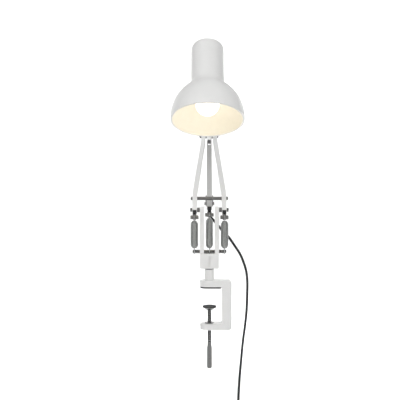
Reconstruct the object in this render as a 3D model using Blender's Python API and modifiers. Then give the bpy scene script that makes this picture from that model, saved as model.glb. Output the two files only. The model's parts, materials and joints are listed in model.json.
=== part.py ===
"""Clamp-on swing arm desk lamp with three balance springs.

Units are metres and +Z is up.  The origin is the middle of the upper jaw
pad's underside, so the desk's top is at Z = 0.  +X points to the clamp's
spine and +Y to the back, the side the lower arm leans to.

The lower arm is two outer bars that pivot on the fork's posts (A).  The
upper arm pivots between their tops (elbow, B).  A centre link runs beside
them from the upper arm's tail (C) down to a crank (D) that hangs on the
balance rod (E), so the link stays parallel to the bars.  The outer springs
pull the bars' lower ends, and the centre spring pulls the link's (F).
"""
import math

import bmesh
import bpy
from mathutils import Vector

GAP = 0.0003                      # between pieces that touch
CUT = 0.002                       # how far a cutter runs past a face

# ---- clamp
CLAMP_DEPTH = 0.028
CLAMP_TIP = -0.018                # X of the arms' rounded tips
CLAMP_BACK = 0.0418               # X of the spine's outer face
CLAMP_THROAT = 0.0234             # X of the spine's inner face
CLAMP_TOP = 0.015
UPPER_JAW = 0.012                 # thickness of the upper arm
LOWER_JAW_TOP = -0.0666
LOWER_JAW = 0.011
CLAMP_CORNER = 0.006
PAD_THICKNESS = 0.003
COLLAR_RADIUS = 0.0089
COLLAR_HEIGHT = 0.020
BUSH_WALL = 0.0014
BUSH_FLANGE = 0.0012
SPINDLE_RADIUS = 0.00475
SPINDLE_GRIP = 0.017              # length inside the fork

# ---- clamp screw
SCREW_RADIUS = 0.004
INSERT_WALL = 0.0024
INSERT_FLANGE = 0.0015
DESK_THICKNESS = 0.034            # the desk it is shown gripping
FACE_THICKNESS = 0.0015
PRESSURE_RADIUS = 0.013
PRESSURE_HEIGHT = 0.0058
PRESSURE_BOSS = 0.0065
PIN_DROP = 0.0722                 # pressure face to handle pin
HANDLE_RADIUS = 0.0049
HANDLE_REACH = 0.0453             # handle pin to handle tip
HANDLE_PIN_RADIUS = 0.0015
TONGUE_THICKNESS = 0.005

# ---- fork
BLOCK_WIDTH = 0.036
BLOCK_DEPTH = 0.018
BLOCK_HEIGHT = 0.028
POST_WIDTH = 0.0078
POST_DEPTH = 0.0126
SLOT_WIDTH = 0.003
SLOT_HEIGHT = 0.020
SLOT_DEPTH = 0.003
PIVOT_HEIGHT = 0.1105             # fork's underside to the lower pivot A
ANCHOR_RADIUS = 0.0034
ANCHOR_HALF = 0.032

# ---- arms
LOWER_LEAN = math.radians(45)     # from upright, to the back
UPPER_RISE = math.radians(17.5)   # above level, to the front
CRANK_DROP = math.radians(25.2)   # below level, to the back
LOWER_LENGTH = 0.223              # A to B
UPPER_LENGTH = 0.2304             # B to P
CRANK_RADIUS = 0.024              # E to D, and B to C
ROD_UP = 0.0308                   # A to E
BAR_WIDTH = 0.0088
BAR_DEPTH = 0.011
BAR_SPREAD = 0.028                # X of the bars' middle below the rod
ELBOW_SPREAD = 0.0127             # X of the bars' middle at the elbow
LINK_WIDTH = 0.0105
UPPER_WIDTH = 0.010
TONGUE_WIDTH = 0.0061             # tail cap inside the link's clevis
PIVOT_RADIUS = 0.0026             # shoulder screws and bolts
ROD_RADIUS = 0.00345
ROD_HALF = 0.036
CRANK_PLATE = 0.0018
CRANK_PIN_OVER = 0.0025            # pin past each plate
CRANK_PIN_RADIUS = 0.0034
SPRING_ARM = 0.0192               # A down to the outer springs' pins
PLUG_WIDTH = 0.0070
SPRING_PIN_RADIUS = 0.0036
OUTER_PIN_HALF = 0.0076
CENTRE_PIN_HALF = 0.0082

# ---- springs
WIRE_RADIUS = 0.0008
COIL_RADIUS = 0.0064              # to the middle of the wire
CONE_RADIUS = 0.0026
CONE_LENGTH = 0.006
SPRING_SPREAD = 0.0285
HOOK_STEM = 0.0069                # pin's axis to the coil
COIL_PITCH = 0.0036

# ---- shade
SHADE_LEAN = math.radians(19.3)
SHADE_LENGTH = 0.145
SHADE_WALL = 0.0011
NECK_RADIUS = 0.028
NECK_END = 0.074
NECK_FILLET = 0.011
DOME_TOP = 0.061
DOME_TOP_RADIUS = 0.032
RIM_RADIUS = 0.061
STUB_UP = 0.099                   # rim to the knuckle's stub, along the axis
STUB_LENGTH = 0.020
STUB_RADIUS = 0.005
STUB_SCREW = 0.0026
STUB_OFFSET = -0.0035             # stub and shade beside the arm's middle
HOLDER_RADIUS = 0.0195
CAP_RADIUS = 0.0132
BULB_RADIUS = 0.020
BULB_CENTRE = 0.030
SWITCH_RADIUS = 0.0069
BUTTON_RADIUS = 0.0045

# ---- cord
CORD_RADIUS = 0.0025
COIL_MEAN = 0.0300
COIL_BUNDLE = 0.0075
PLUG_LENGTH = 0.034
PIN_LENGTH = 0.019
TAIL_DROP = 0.0142                # coil to plug

# ---- what follows from the sizes above
JAW_UNDERSIDE = CLAMP_TOP - UPPER_JAW
COLLAR_TOP = CLAMP_TOP + COLLAR_HEIGHT
FORK_BASE = COLLAR_TOP + BUSH_FLANGE + 2 * GAP
BLOCK_TOP = FORK_BASE + BLOCK_HEIGHT
POST_MIDDLE = (BLOCK_WIDTH - POST_WIDTH) / 2
POST_INNER = BLOCK_WIDTH / 2 - POST_WIDTH
BUSH_BORE = SPINDLE_RADIUS + GAP
BUSH_RADIUS = BUSH_BORE + BUSH_WALL
PRESSURE_TOP = -DESK_THICKNESS
SCREW_TOP = PRESSURE_TOP - FACE_THICKNESS - 0.0033
HANDLE_PIN = PRESSURE_TOP - PIN_DROP
ANCHOR = Vector((0, 0, BLOCK_TOP + GAP + ANCHOR_RADIUS))


def leaning(lean, length):
    """A step along a bar that leans back from upright."""
    return Vector((0, math.sin(lean), math.cos(lean))) * length


LOWER_PIVOT = Vector((0, 0, FORK_BASE + PIVOT_HEIGHT))                    # A
ROD = LOWER_PIVOT + leaning(LOWER_LEAN, ROD_UP)                           # E
ELBOW = LOWER_PIVOT + leaning(LOWER_LEAN, LOWER_LENGTH)                   # B
CRANK = leaning(math.pi / 2 + CRANK_DROP, CRANK_RADIUS)
CRANK_PIN = ROD + CRANK                                                   # D
TAIL = ELBOW + CRANK                                                      # C
CENTRE_PIN = LOWER_PIVOT + CRANK                                          # F
OUTER_PIN = LOWER_PIVOT - leaning(LOWER_LEAN, SPRING_ARM)                 # G
TILT = ELBOW + leaning(UPPER_RISE - math.pi / 2, UPPER_LENGTH)            # P
STUB = leaning(SHADE_LEAN - math.pi / 2, 1)
NECK = TILT + STUB * (STUB_LENGTH + NECK_RADIUS) + Vector((STUB_OFFSET, 0, 0))
RIM = NECK - leaning(SHADE_LEAN, STUB_UP)
PLUG_START = 0.005                # end of the outer bars, below A
LINK_END = 0.0125                 # end of the link, below D

for item in list(bpy.data.objects):
    bpy.data.objects.remove(item)

parts = bpy.data.collections.new("swing_arm_desk_lamp")
cutters = bpy.data.collections.new("cutters")
for group in (parts, cutters):
    bpy.context.scene.collection.children.link(group)


# ------------------------------------------------------------------ helpers
def finish_slot(name, colour, roughness, metallic=0.0):
    made = bpy.data.materials.new(name)
    made.use_nodes = True
    shader = made.node_tree.nodes["Principled BSDF"]
    shader.inputs["Base Color"].default_value = (*colour, 1)
    shader.inputs["Roughness"].default_value = roughness
    shader.inputs["Metallic"].default_value = metallic
    return made


WHITE = finish_slot("white_paint", (0.86, 0.86, 0.85), 0.35)
STEEL = finish_slot("bright_steel", (0.62, 0.62, 0.62), 0.25, 1.0)
LINK_GREY = finish_slot("satin_aluminium", (0.58, 0.58, 0.57), 0.4, 1.0)
SPRING_STEEL = finish_slot("spring_steel", (0.42, 0.43, 0.44), 0.3, 1.0)
BLACK = finish_slot("black_plastic", (0.02, 0.02, 0.02), 0.5)
RUBBER = finish_slot("dark_rubber", (0.05, 0.05, 0.05), 0.8)
CREAM = finish_slot("lit_glass", (1.0, 0.93, 0.78), 0.3)
CORD_BLACK = finish_slot("cord_black", (0.015, 0.015, 0.015), 0.6)


def frame_at(name, location, lean=0.0):
    """An empty on a joint's axis; its +Z leans back by the given angle."""
    empty = bpy.data.objects.new(name, None)
    empty.location = location
    empty.rotation_euler = (-lean, 0, 0)
    parts.objects.link(empty)
    return empty


def put(name, data, slot, parent, location=(0, 0, 0), rotation=(0, 0, 0)):
    """Make the object of one piece, or of a cutter when it has no slot."""
    obj = bpy.data.objects.new(name, data)
    obj.parent = parent
    obj.location = location
    obj.rotation_euler = rotation
    if slot is None:
        cutters.objects.link(obj)
        obj.hide_render = True
        obj.display_type = "WIRE"
    else:
        parts.objects.link(obj)
        data.materials.append(slot)
    return obj


def as_mesh(obj):
    """Swap a curve object for a mesh object with its caps welded."""
    bpy.context.view_layer.update()
    depsgraph = bpy.context.evaluated_depsgraph_get()
    mesh = bpy.data.meshes.new_from_object(obj.evaluated_get(depsgraph))
    edit = bmesh.new()
    edit.from_mesh(mesh)
    bmesh.ops.remove_doubles(edit, verts=edit.verts, dist=0.00001)
    edit.to_mesh(mesh)
    edit.free()
    name = obj.name
    curve = obj.data
    swapped = bpy.data.objects.new(name + "_mesh", mesh)
    swapped.parent = obj.parent
    swapped.location = obj.location
    swapped.rotation_euler = obj.rotation_euler
    swapped.hide_render = obj.hide_render
    swapped.display_type = obj.display_type
    for group in obj.users_collection:
        group.objects.link(swapped)
    bpy.data.objects.remove(obj)
    bpy.data.curves.remove(curve)
    swapped.name = name
    return swapped


def rounded(corners, steps=5):
    """Outline through corners (x, y, radius), each with its own radius."""
    outline = []
    for i, (x, y, radius) in enumerate(corners):
        here = Vector((x, y))
        if radius <= 0:
            outline.append(here)
            continue
        before = (Vector(corners[i - 1][:2]) - here).normalized()
        after = (Vector(corners[(i + 1) % len(corners)][:2]) - here).normalized()
        half = before.angle(after) / 2
        centre = here + (before + after).normalized() * radius / math.sin(half)
        start = here + before * radius / math.tan(half) - centre
        end = here + after * radius / math.tan(half) - centre
        first = math.atan2(start.y, start.x)
        sweep = math.atan2(end.y, end.x) - first
        sweep = (sweep + math.pi) % (2 * math.pi) - math.pi
        for k in range(steps + 1):
            angle = first + sweep * k / steps
            outline.append(centre + radius * Vector((math.cos(angle), math.sin(angle))))
    return [p for i, p in enumerate(outline) if (p - outline[i - 1]).length > 0.00001]


def block(x0, x1, y0, y1, radius=0.0, far=None):
    """Corners of a box outline; the y1 end may have its own radius."""
    far = radius if far is None else far
    return [(x0, y0, radius), (x1, y0, radius), (x1, y1, far), (x0, y1, far)]


FACING = {"y": (math.pi / 2, 0, 0), "x": (math.pi / 2, 0, math.pi / 2), "z": (0, 0, 0)}


def plate(name, slot, outline, thickness, facing, parent, offset=0.0):
    """A flat outline given a thickness about the plane it faces.

    Facing y the outline is (x, z); facing x it is (y, z); facing z (x, y).
    """
    curve = bpy.data.curves.new(name, "CURVE")
    curve.dimensions = "2D"
    curve.fill_mode = "BOTH"
    curve.extrude = thickness / 2
    spline = curve.splines.new("POLY")
    spline.points.add(len(outline) - 1)
    for point, place in zip(spline.points, outline):
        point.co = (place[0], place[1], 0, 1)
    spline.use_cyclic_u = True
    along = {"x": (offset, 0, 0), "y": (0, offset, 0), "z": (0, 0, offset)}[facing]
    return as_mesh(put(name, curve, slot, parent, along, FACING[facing]))


def combine(obj, other, operation):
    made = obj.modifiers.new(operation.lower(), "BOOLEAN")
    made.operation = operation
    made.object = other
    made.solver = "EXACT"


def crossed(name, slot, front, front_depth, side, side_depth, side_facing, parent):
    """A front outline (x, z) trimmed by a second outline at right angles."""
    obj = plate(name, slot, front, front_depth, "y", parent)
    trim = plate("cutter_" + name, None, side, side_depth, side_facing, parent)
    combine(obj, trim, "INTERSECT")
    return obj


def round_bar(name, slot, radius, start, end, along, parent, sides=18, centre=(0, 0, 0)):
    """A plain cylinder along x, y or z, from start to end."""
    mesh = bpy.data.meshes.new(name)
    edit = bmesh.new()
    bmesh.ops.create_cone(edit, cap_ends=True, segments=sides, radius1=radius,
                          radius2=radius, depth=end - start)
    edit.to_mesh(mesh)
    edit.free()
    mesh.shade_smooth()
    mesh.set_sharp_from_angle(angle=math.radians(40))
    middle = (start + end) / 2
    step = {"x": (middle, 0, 0), "y": (0, middle, 0), "z": (0, 0, middle)}[along]
    turn = {"x": (0, math.pi / 2, 0), "y": (math.pi / 2, 0, 0), "z": (0, 0, 0)}[along]
    return put(name, mesh, slot, parent, Vector(centre) + Vector(step), turn)


def bore(obj, radius, start, end, along, parent, centre=(0, 0, 0), sides=16):
    """Drill a hole in a piece with a hidden cylinder."""
    count = len(cutters.objects)
    drill = round_bar(f"cutter_{obj.name}_{count}", None, radius, start, end, along,
                      parent, sides, centre)
    combine(obj, drill, "DIFFERENCE")


def add_bar(obj, radius, start, end, along, parent, centre=(0, 0, 0), sides=18):
    """Join a cylinder to a piece."""
    count = len(cutters.objects)
    extra = round_bar(f"joined_{obj.name}_{count}", None, radius, start, end, along,
                      parent, sides, centre)
    combine(obj, extra, "UNION")


def turned(name, slot, profile, parent, closed=False, steps=20, facing="z", location=(0, 0, 0)):
    """Turn a profile of (z, radius), listed down its outer side."""
    mesh = bpy.data.meshes.new(name)
    corners = [(radius, 0, z) for z, radius in profile]
    edges = [(i, i + 1) for i in range(len(corners) - 1)]
    if closed:
        edges.append((len(corners) - 1, 0))
    mesh.from_pydata(corners, edges, [])
    turn = {"z": (0, 0, 0), "x": (0, math.pi / 2, 0)}[facing]
    obj = put(name, mesh, slot, parent, location, turn)
    screw = obj.modifiers.new("turn", "SCREW")
    screw.steps = steps
    screw.render_steps = steps
    screw.use_merge_vertices = True
    screw.merge_threshold = 0.00001
    screw.use_smooth_shade = True
    return obj


def ring(name, slot, inner, outer, start, end, parent, facing="x", steps=18):
    """A plain washer, sleeve or spacer from start to end along its axis."""
    profile = [(end, outer), (start, outer), (start, inner), (end, inner)]
    return turned(name, slot, profile, parent, closed=True, steps=steps, facing=facing)


def wire(name, slot, points, radius, parent, resolution=0, first=()):
    """A round wire through the points, whose first ones can be thinner."""
    curve = bpy.data.curves.new(name, "CURVE")
    curve.dimensions = "3D"
    curve.bevel_depth = radius
    curve.bevel_resolution = resolution
    curve.use_fill_caps = True
    spline = curve.splines.new("POLY")
    spline.points.add(len(points) - 1)
    for point, place in zip(spline.points, points):
        point.co = (*place, 1)
    for point, share in zip(spline.points, first):
        point.radius = share
    return as_mesh(put(name, curve, slot, parent))


def smooth_route(through, count):
    """Points at even steps along a smooth curve through the given ones."""
    knots = [Vector(p) for p in through]
    knots = [2 * knots[0] - knots[1]] + knots + [2 * knots[-1] - knots[-2]]
    fine = []
    for before, start, end, after in zip(knots, knots[1:], knots[2:], knots[3:]):
        for k in range(20):
            t = k / 20
            fine.append(0.5 * (2 * start + (end - before) * t
                               + (2 * before - 5 * start + 4 * end - after) * t ** 2
                               + (3 * start - before - 3 * end + after) * t ** 3))
    fine.append(knots[-2])
    travelled = [0.0]
    for start, end in zip(fine, fine[1:]):
        travelled.append(travelled[-1] + (end - start).length)
    route = []
    place = 0
    for k in range(count):
        goal = travelled[-1] * k / (count - 1)
        while place < len(fine) - 2 and travelled[place + 1] < goal:
            place += 1
        share = (goal - travelled[place]) / (travelled[place + 1] - travelled[place])
        route.append(fine[place].lerp(fine[place + 1], share))
    return route


# -------------------------------------------------------------------- clamp
clamp_at = frame_at("clamp_frame_origin", (0, 0, 0))
lower_bottom = LOWER_JAW_TOP - LOWER_JAW
jaw_outline = rounded([
    (CLAMP_TIP - CUT, CLAMP_TOP, 0), (CLAMP_TIP - CUT, JAW_UNDERSIDE, 0),
    (CLAMP_THROAT, JAW_UNDERSIDE, 0.002), (CLAMP_THROAT, LOWER_JAW_TOP, 0.002),
    (CLAMP_TIP - CUT, LOWER_JAW_TOP, 0), (CLAMP_TIP - CUT, lower_bottom, 0),
    (CLAMP_BACK, lower_bottom, CLAMP_CORNER), (CLAMP_BACK, CLAMP_TOP, CLAMP_CORNER)])
half = CLAMP_DEPTH / 2
plan = rounded([(CLAMP_TIP, -half, half), (CLAMP_BACK, -half, 0.005),
                (CLAMP_BACK, half, 0.005), (CLAMP_TIP, half, half)], 8)
clamp_frame = crossed("clamp_frame", WHITE, jaw_outline, CLAMP_DEPTH + 2 * CUT, plan,
                      0.4, "z", clamp_at)
add_bar(clamp_frame, COLLAR_RADIUS, CLAMP_TOP - CUT, COLLAR_TOP, "z", clamp_at, sides=32)
bore(clamp_frame, BUSH_RADIUS + GAP, JAW_UNDERSIDE + 0.0025, COLLAR_TOP + CUT, "z", clamp_at)
insert_bore = SCREW_RADIUS + GAP
insert_radius = insert_bore + INSERT_WALL
bore(clamp_frame, insert_radius + GAP, lower_bottom - CUT, LOWER_JAW_TOP + CUT, "z", clamp_at)

pad_plan = rounded([(CLAMP_TIP + 0.0006, 0.0006 - half, half - 0.0006),
                    (CLAMP_THROAT - 0.0012, 0.0006 - half, 0.002),
                    (CLAMP_THROAT - 0.0012, half - 0.0006, 0.002),
                    (CLAMP_TIP + 0.0006, half - 0.0006, half - 0.0006)], 8)
pad_thick = JAW_UNDERSIDE - GAP
plate("clamp_jaw_pad", RUBBER, pad_plan, pad_thick, "z", clamp_at, pad_thick / 2)

bush_bottom = JAW_UNDERSIDE + 0.0025 + GAP
flange_low = COLLAR_TOP + GAP
flange_high = flange_low + BUSH_FLANGE
turned("swivel_bush", BLACK, [
    (flange_high, COLLAR_RADIUS - 0.0004), (flange_low, COLLAR_RADIUS - 0.0004),
    (flange_low, BUSH_RADIUS), (bush_bottom, BUSH_RADIUS),
    (bush_bottom, BUSH_BORE), (flange_high, BUSH_BORE)], clamp_at, closed=True)
insert_top = LOWER_JAW_TOP + GAP + INSERT_FLANGE
turned("thread_bush", STEEL, [
    (insert_top, insert_radius + 0.002), (LOWER_JAW_TOP + GAP, insert_radius + 0.002),
    (LOWER_JAW_TOP + GAP, insert_radius), (lower_bottom, insert_radius),
    (lower_bottom, insert_bore), (insert_top, insert_bore)], clamp_at, closed=True)

# ------------------------------------------------------------- clamp screw
screw_at = frame_at("clamp_screw_origin", (0, 0, PRESSURE_TOP))
face_low = -FACE_THICKNESS
turned("pressure_pad_face", RUBBER, [
    (0, 0), (0, PRESSURE_RADIUS - 0.0005), (face_low, PRESSURE_RADIUS), (face_low, 0)], screw_at)
pad_high = face_low - GAP
socket_top = SCREW_TOP - PRESSURE_TOP + GAP
turned("pressure_pad", WHITE, [
    (pad_high, 0), (pad_high, PRESSURE_RADIUS), (pad_high - 0.0012, PRESSURE_RADIUS),
    (pad_high - 0.0048, PRESSURE_BOSS + 0.0006), (pad_high - PRESSURE_HEIGHT, PRESSURE_BOSS),
    (pad_high - PRESSURE_HEIGHT, SCREW_RADIUS + GAP), (socket_top, SCREW_RADIUS + GAP),
    (socket_top, 0)], screw_at)

shoulder = HANDLE_PIN + HANDLE_RADIUS + 0.0007
tongue_end = HANDLE_RADIUS - 0.0006
clamp_screw = round_bar("clamp_screw", STEEL, SCREW_RADIUS, shoulder, SCREW_TOP, "z", clamp_at)
handle_at = frame_at("clamp_handle_origin", (0, 0, HANDLE_PIN))
tongue = plate("joined_tongue", None, rounded(block(
    -SCREW_RADIUS + 0.0002, SCREW_RADIUS - 0.0002, HANDLE_RADIUS + 0.0020, -tongue_end,
    0, SCREW_RADIUS - 0.0003)), TONGUE_THICKNESS, "y", handle_at)
combine(clamp_screw, tongue, "UNION")
bore(clamp_screw, HANDLE_PIN_RADIUS + GAP, -0.01, 0.01, "y", handle_at, sides=16)
cheek_face = TONGUE_THICKNESS / 2 + GAP
handle_depth = 2 * HANDLE_RADIUS
clamp_handle = crossed("clamp_handle", STEEL, rounded(block(
    -HANDLE_RADIUS, HANDLE_RADIUS, -HANDLE_REACH, HANDLE_RADIUS, 0.003, HANDLE_RADIUS)),
    handle_depth, rounded(block(-HANDLE_RADIUS, HANDLE_RADIUS, -HANDLE_REACH - CUT,
                                HANDLE_RADIUS + CUT)), 0.02, "x", handle_at)
gap_top = plate("cutter_handle_gap", None, rounded(block(
    -cheek_face, cheek_face, -HANDLE_RADIUS - 0.0006, HANDLE_RADIUS + CUT)),
    0.02, "x", handle_at)
round_off = round_bar("cutter_handle_round", None, HANDLE_RADIUS + 0.0003,
                      -HANDLE_REACH - CUT, HANDLE_RADIUS + CUT, "z", handle_at, 16)
combine(clamp_handle, round_off, "INTERSECT")
combine(clamp_handle, gap_top, "DIFFERENCE")
bore(clamp_handle, HANDLE_PIN_RADIUS + GAP, -0.01, 0.01, "y", handle_at, sides=16)
round_bar("handle_pin", STEEL, HANDLE_PIN_RADIUS, -HANDLE_RADIUS, HANDLE_RADIUS, "y",
          handle_at, 16)

# --------------------------------------------------------------------- fork
fork_at = frame_at("fork_origin", (0, 0, FORK_BASE))
post_top = PIVOT_HEIGHT + POST_DEPTH / 2
wide = BLOCK_WIDTH / 2
fork = crossed("fork", WHITE, rounded([
    (-wide, 0, 0.002), (wide, 0, 0.002), (wide, post_top, 0), (POST_INNER, post_top, 0),
    (POST_INNER, BLOCK_HEIGHT, 0), (-POST_INNER, BLOCK_HEIGHT, 0), (-POST_INNER, post_top, 0),
    (-wide, post_top, 0)]), BLOCK_DEPTH, rounded([
        (-BLOCK_DEPTH / 2, 0, 0), (BLOCK_DEPTH / 2, 0, 0),
        (BLOCK_DEPTH / 2, BLOCK_HEIGHT, 0.001), (POST_DEPTH / 2, BLOCK_HEIGHT, 0),
        (POST_DEPTH / 2, post_top, POST_DEPTH / 2 - 0.00002),
        (-POST_DEPTH / 2, post_top, POST_DEPTH / 2 - 0.00002),
        (-POST_DEPTH / 2, BLOCK_HEIGHT, 0), (-BLOCK_DEPTH / 2, BLOCK_HEIGHT, 0.001)]),
    0.08, "x", fork_at)
slot_low = (BLOCK_HEIGHT - SLOT_HEIGHT) / 2 - 0.0015
slot_cut = plate("cutter_fork_slot", None, rounded(block(
    -SLOT_WIDTH / 2, SLOT_WIDTH / 2, slot_low, slot_low + SLOT_HEIGHT, 0.0014)),
    2 * SLOT_DEPTH, "y", fork_at, -BLOCK_DEPTH / 2)
combine(fork, slot_cut, "DIFFERENCE")
hook_low = BLOCK_HEIGHT + GAP + ANCHOR_RADIUS - (ANCHOR_RADIUS + 2 * WIRE_RADIUS + 2 * GAP)
relief = plate("cutter_fork_relief", None, rounded(block(
    -WIRE_RADIUS - 0.0010, WIRE_RADIUS + 0.0010, hook_low - GAP, BLOCK_HEIGHT + CUT)),
    2 * (ANCHOR_RADIUS + 2 * WIRE_RADIUS + 3 * GAP), "y", fork_at)
combine(fork, relief, "DIFFERENCE")
bore(fork, BUSH_BORE, -CUT, SPINDLE_GRIP + GAP, "z", fork_at)
bore(fork, PIVOT_RADIUS + GAP, -0.03, 0.03, "x", fork_at, (0, 0, PIVOT_HEIGHT))
anchor_up = ANCHOR.z - FORK_BASE
bore(fork, ANCHOR_RADIUS + GAP, -0.04, 0.04, "x", fork_at, (0, 0, anchor_up))
round_bar("spindle", STEEL, SPINDLE_RADIUS, bush_bottom + GAP - FORK_BASE, SPINDLE_GRIP,
          "z", fork_at)

groove = []
for spot in (SPRING_SPREAD, 0, -SPRING_SPREAD):
    for reach, radius in ((0.0016, 0), (0.0012, 0.0005), (-0.0012, 0.0005), (-0.0016, 0)):
        groove.append((spot + reach, ANCHOR_RADIUS - radius))
turned("spring_anchor_rod", STEEL, [(ANCHOR_HALF, 0), (ANCHOR_HALF, ANCHOR_RADIUS), *groove,
                                    (-ANCHOR_HALF, ANCHOR_RADIUS), (-ANCHOR_HALF, 0)],
       fork_at, steps=16, facing="x", location=(0, 0, anchor_up))

bar_inner = BAR_SPREAD - BAR_WIDTH / 2
bar_outer = BAR_SPREAD + BAR_WIDTH / 2
pivot_at = frame_at("lower_pivot", LOWER_PIVOT, LOWER_LEAN)
for side, sign in (("left", -1), ("right", 1)):
    near, far = wide + GAP, bar_inner - GAP
    ring(f"pivot_spacer_{side}", STEEL, PIVOT_RADIUS + GAP, 0.00465,
         min(sign * near, sign * far), max(sign * near, sign * far), pivot_at)
    head, cap = bar_outer + GAP, bar_outer + 0.0040
    screw_profile = [(cap, 0), (cap, 0.0034), (cap - 0.0006, 0.0038), (head, 0.0038),
                     (head, PIVOT_RADIUS), (POST_INNER + 0.0004, PIVOT_RADIUS),
                     (POST_INNER + 0.0004, 0)]
    if sign < 0:
        screw_profile = [(-z, radius) for z, radius in reversed(screw_profile)]
    turned(f"pivot_screw_{side}", STEEL, screw_profile, pivot_at, steps=18, facing="x")


# ---------------------------------------------------------------- lower arm
def bar_outline(sign, start, end):
    """A bar that runs straight past the rod, then in towards the elbow."""
    middle = [(BAR_SPREAD, start), (BAR_SPREAD, ROD_UP + 0.012),
              (ELBOW_SPREAD, LOWER_LENGTH - 0.018), (ELBOW_SPREAD, end)]
    left, right = [], []
    for x, z in middle:
        left.append((sign * x - BAR_WIDTH / 2, z))
        right.append((sign * x + BAR_WIDTH / 2, z))
    return [(x, z, 0.0) for x, z in right] + [(x, z, 0.0) for x, z in reversed(left)]


half_depth = BAR_DEPTH / 2
for side, sign in (("left", -1), ("right", 1)):
    top = LOWER_LENGTH + half_depth
    outer = crossed(f"lower_arm_{side}", WHITE,
                    rounded(bar_outline(sign, -PLUG_START, top + CUT)), BAR_DEPTH + 2 * CUT,
                    rounded(block(-half_depth, half_depth, -PLUG_START, top, 0.0008,
                                  half_depth - 0.00002)), 0.1, "x", pivot_at)
    for reach, radius in ((0, PIVOT_RADIUS), (ROD_UP, ROD_RADIUS), (LOWER_LENGTH, PIVOT_RADIUS)):
        bore(outer, radius + GAP, -0.04, 0.04, "x", pivot_at, (0, 0, reach), 20)

    middle = sign * BAR_SPREAD
    spring_x = sign * SPRING_SPREAD
    plug = crossed(f"arm_plug_{side}", BLACK, rounded(block(
        middle - PLUG_WIDTH / 2, middle + PLUG_WIDTH / 2, -SPRING_ARM - 0.0052,
        -PLUG_START - GAP, 0.0016, 0)), BAR_DEPTH + 2 * CUT, rounded(block(
            -0.0052, 0.0052, -SPRING_ARM - 0.0052, -PLUG_START - GAP, 0.0051, 0)),
        0.1, "x", pivot_at)
    bore(plug, SPRING_PIN_RADIUS + GAP, middle - 0.01, middle + 0.01, "x", pivot_at,
         (0, 0, -SPRING_ARM))
    hook_room = plate(f"cutter_hook_{side}", None, rounded(block(
        spring_x - 0.0013, spring_x + 0.0013, -SPRING_ARM - 0.01, -SPRING_ARM + 0.0062)),
        0.02, "y", pivot_at)
    combine(plug, hook_room, "DIFFERENCE")
    round_bar(f"spring_pin_{side}", STEEL, SPRING_PIN_RADIUS, middle - OUTER_PIN_HALF,
              middle + OUTER_PIN_HALF, "x", pivot_at, centre=(0, 0, -SPRING_ARM))

rod_at = frame_at("balance_rod_origin", ROD, math.pi / 2 + CRANK_DROP)
round_bar("balance_rod", STEEL, ROD_RADIUS, -ROD_HALF, ROD_HALF, "x", rod_at)
elbow_at = frame_at("elbow_origin", ELBOW, UPPER_RISE - math.pi / 2)
elbow_outer = ELBOW_SPREAD + BAR_WIDTH / 2
turned("elbow_bolt", STEEL, [
    (elbow_outer + 0.0030, 0), (elbow_outer + 0.0030, 0.0036), (elbow_outer + 0.0024, 0.0042),
    (elbow_outer + GAP, 0.0042), (elbow_outer + GAP, PIVOT_RADIUS),
    (-elbow_outer - 0.0045, PIVOT_RADIUS), (-elbow_outer - 0.0045, 0)], elbow_at,
       steps=18, facing="x")
hex_bore = (PIVOT_RADIUS + GAP) / math.cos(math.pi / 6)
ring("elbow_nut", STEEL, hex_bore, hex_bore + 0.0016, -elbow_outer - 0.0036,
     -elbow_outer - GAP, elbow_at, steps=6)

# ------------------------------------------------------------ crank and link
crank_inner = LINK_WIDTH / 2 + GAP
crank_outer = crank_inner + CRANK_PLATE
for side, sign in (("left", -1), ("right", 1)):
    cheek = plate(f"crank_plate_{side}", STEEL, rounded(block(
        -0.0058, 0.0058, -0.0058, CRANK_RADIUS + 0.0058, 0.00575)), CRANK_PLATE, "x",
        rod_at, sign * (crank_inner + CRANK_PLATE / 2))
    bore(cheek, ROD_RADIUS + GAP, -0.02, 0.02, "x", rod_at)
    bore(cheek, CRANK_PIN_RADIUS + GAP, -0.02, 0.02, "x", rod_at, (0, 0, CRANK_RADIUS))
round_bar("crank_pin", STEEL, CRANK_PIN_RADIUS, -crank_outer - CRANK_PIN_OVER,
          crank_outer + CRANK_PIN_OVER, "x", rod_at, centre=(0, 0, CRANK_RADIUS))

link_at = frame_at("link_origin", CRANK_PIN, LOWER_LEAN)
link_reach = LOWER_LENGTH - ROD_UP
clevis = half_depth
link_half = LINK_WIDTH / 2
link_bar = crossed("link_bar", LINK_GREY, rounded(block(
    -link_half, link_half, -LINK_END, link_reach + clevis + CUT)), BAR_DEPTH + 2 * CUT,
    rounded(block(-half_depth, half_depth, -LINK_END, link_reach + clevis, 0.0008,
                  half_depth - 0.00002)), 0.1, "x", link_at)
bore(link_bar, CRANK_PIN_RADIUS + GAP, -0.02, 0.02, "x", link_at)
clevis_cut = plate("cutter_clevis", None, rounded(block(
    -TONGUE_WIDTH / 2 - GAP, TONGUE_WIDTH / 2 + GAP, link_reach - 0.0170, link_reach + 0.01)),
    0.03, "y", link_at)
combine(link_bar, clevis_cut, "DIFFERENCE")
bore(link_bar, PIVOT_RADIUS + GAP, -0.02, 0.02, "x", link_at, (0, 0, link_reach))

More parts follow.
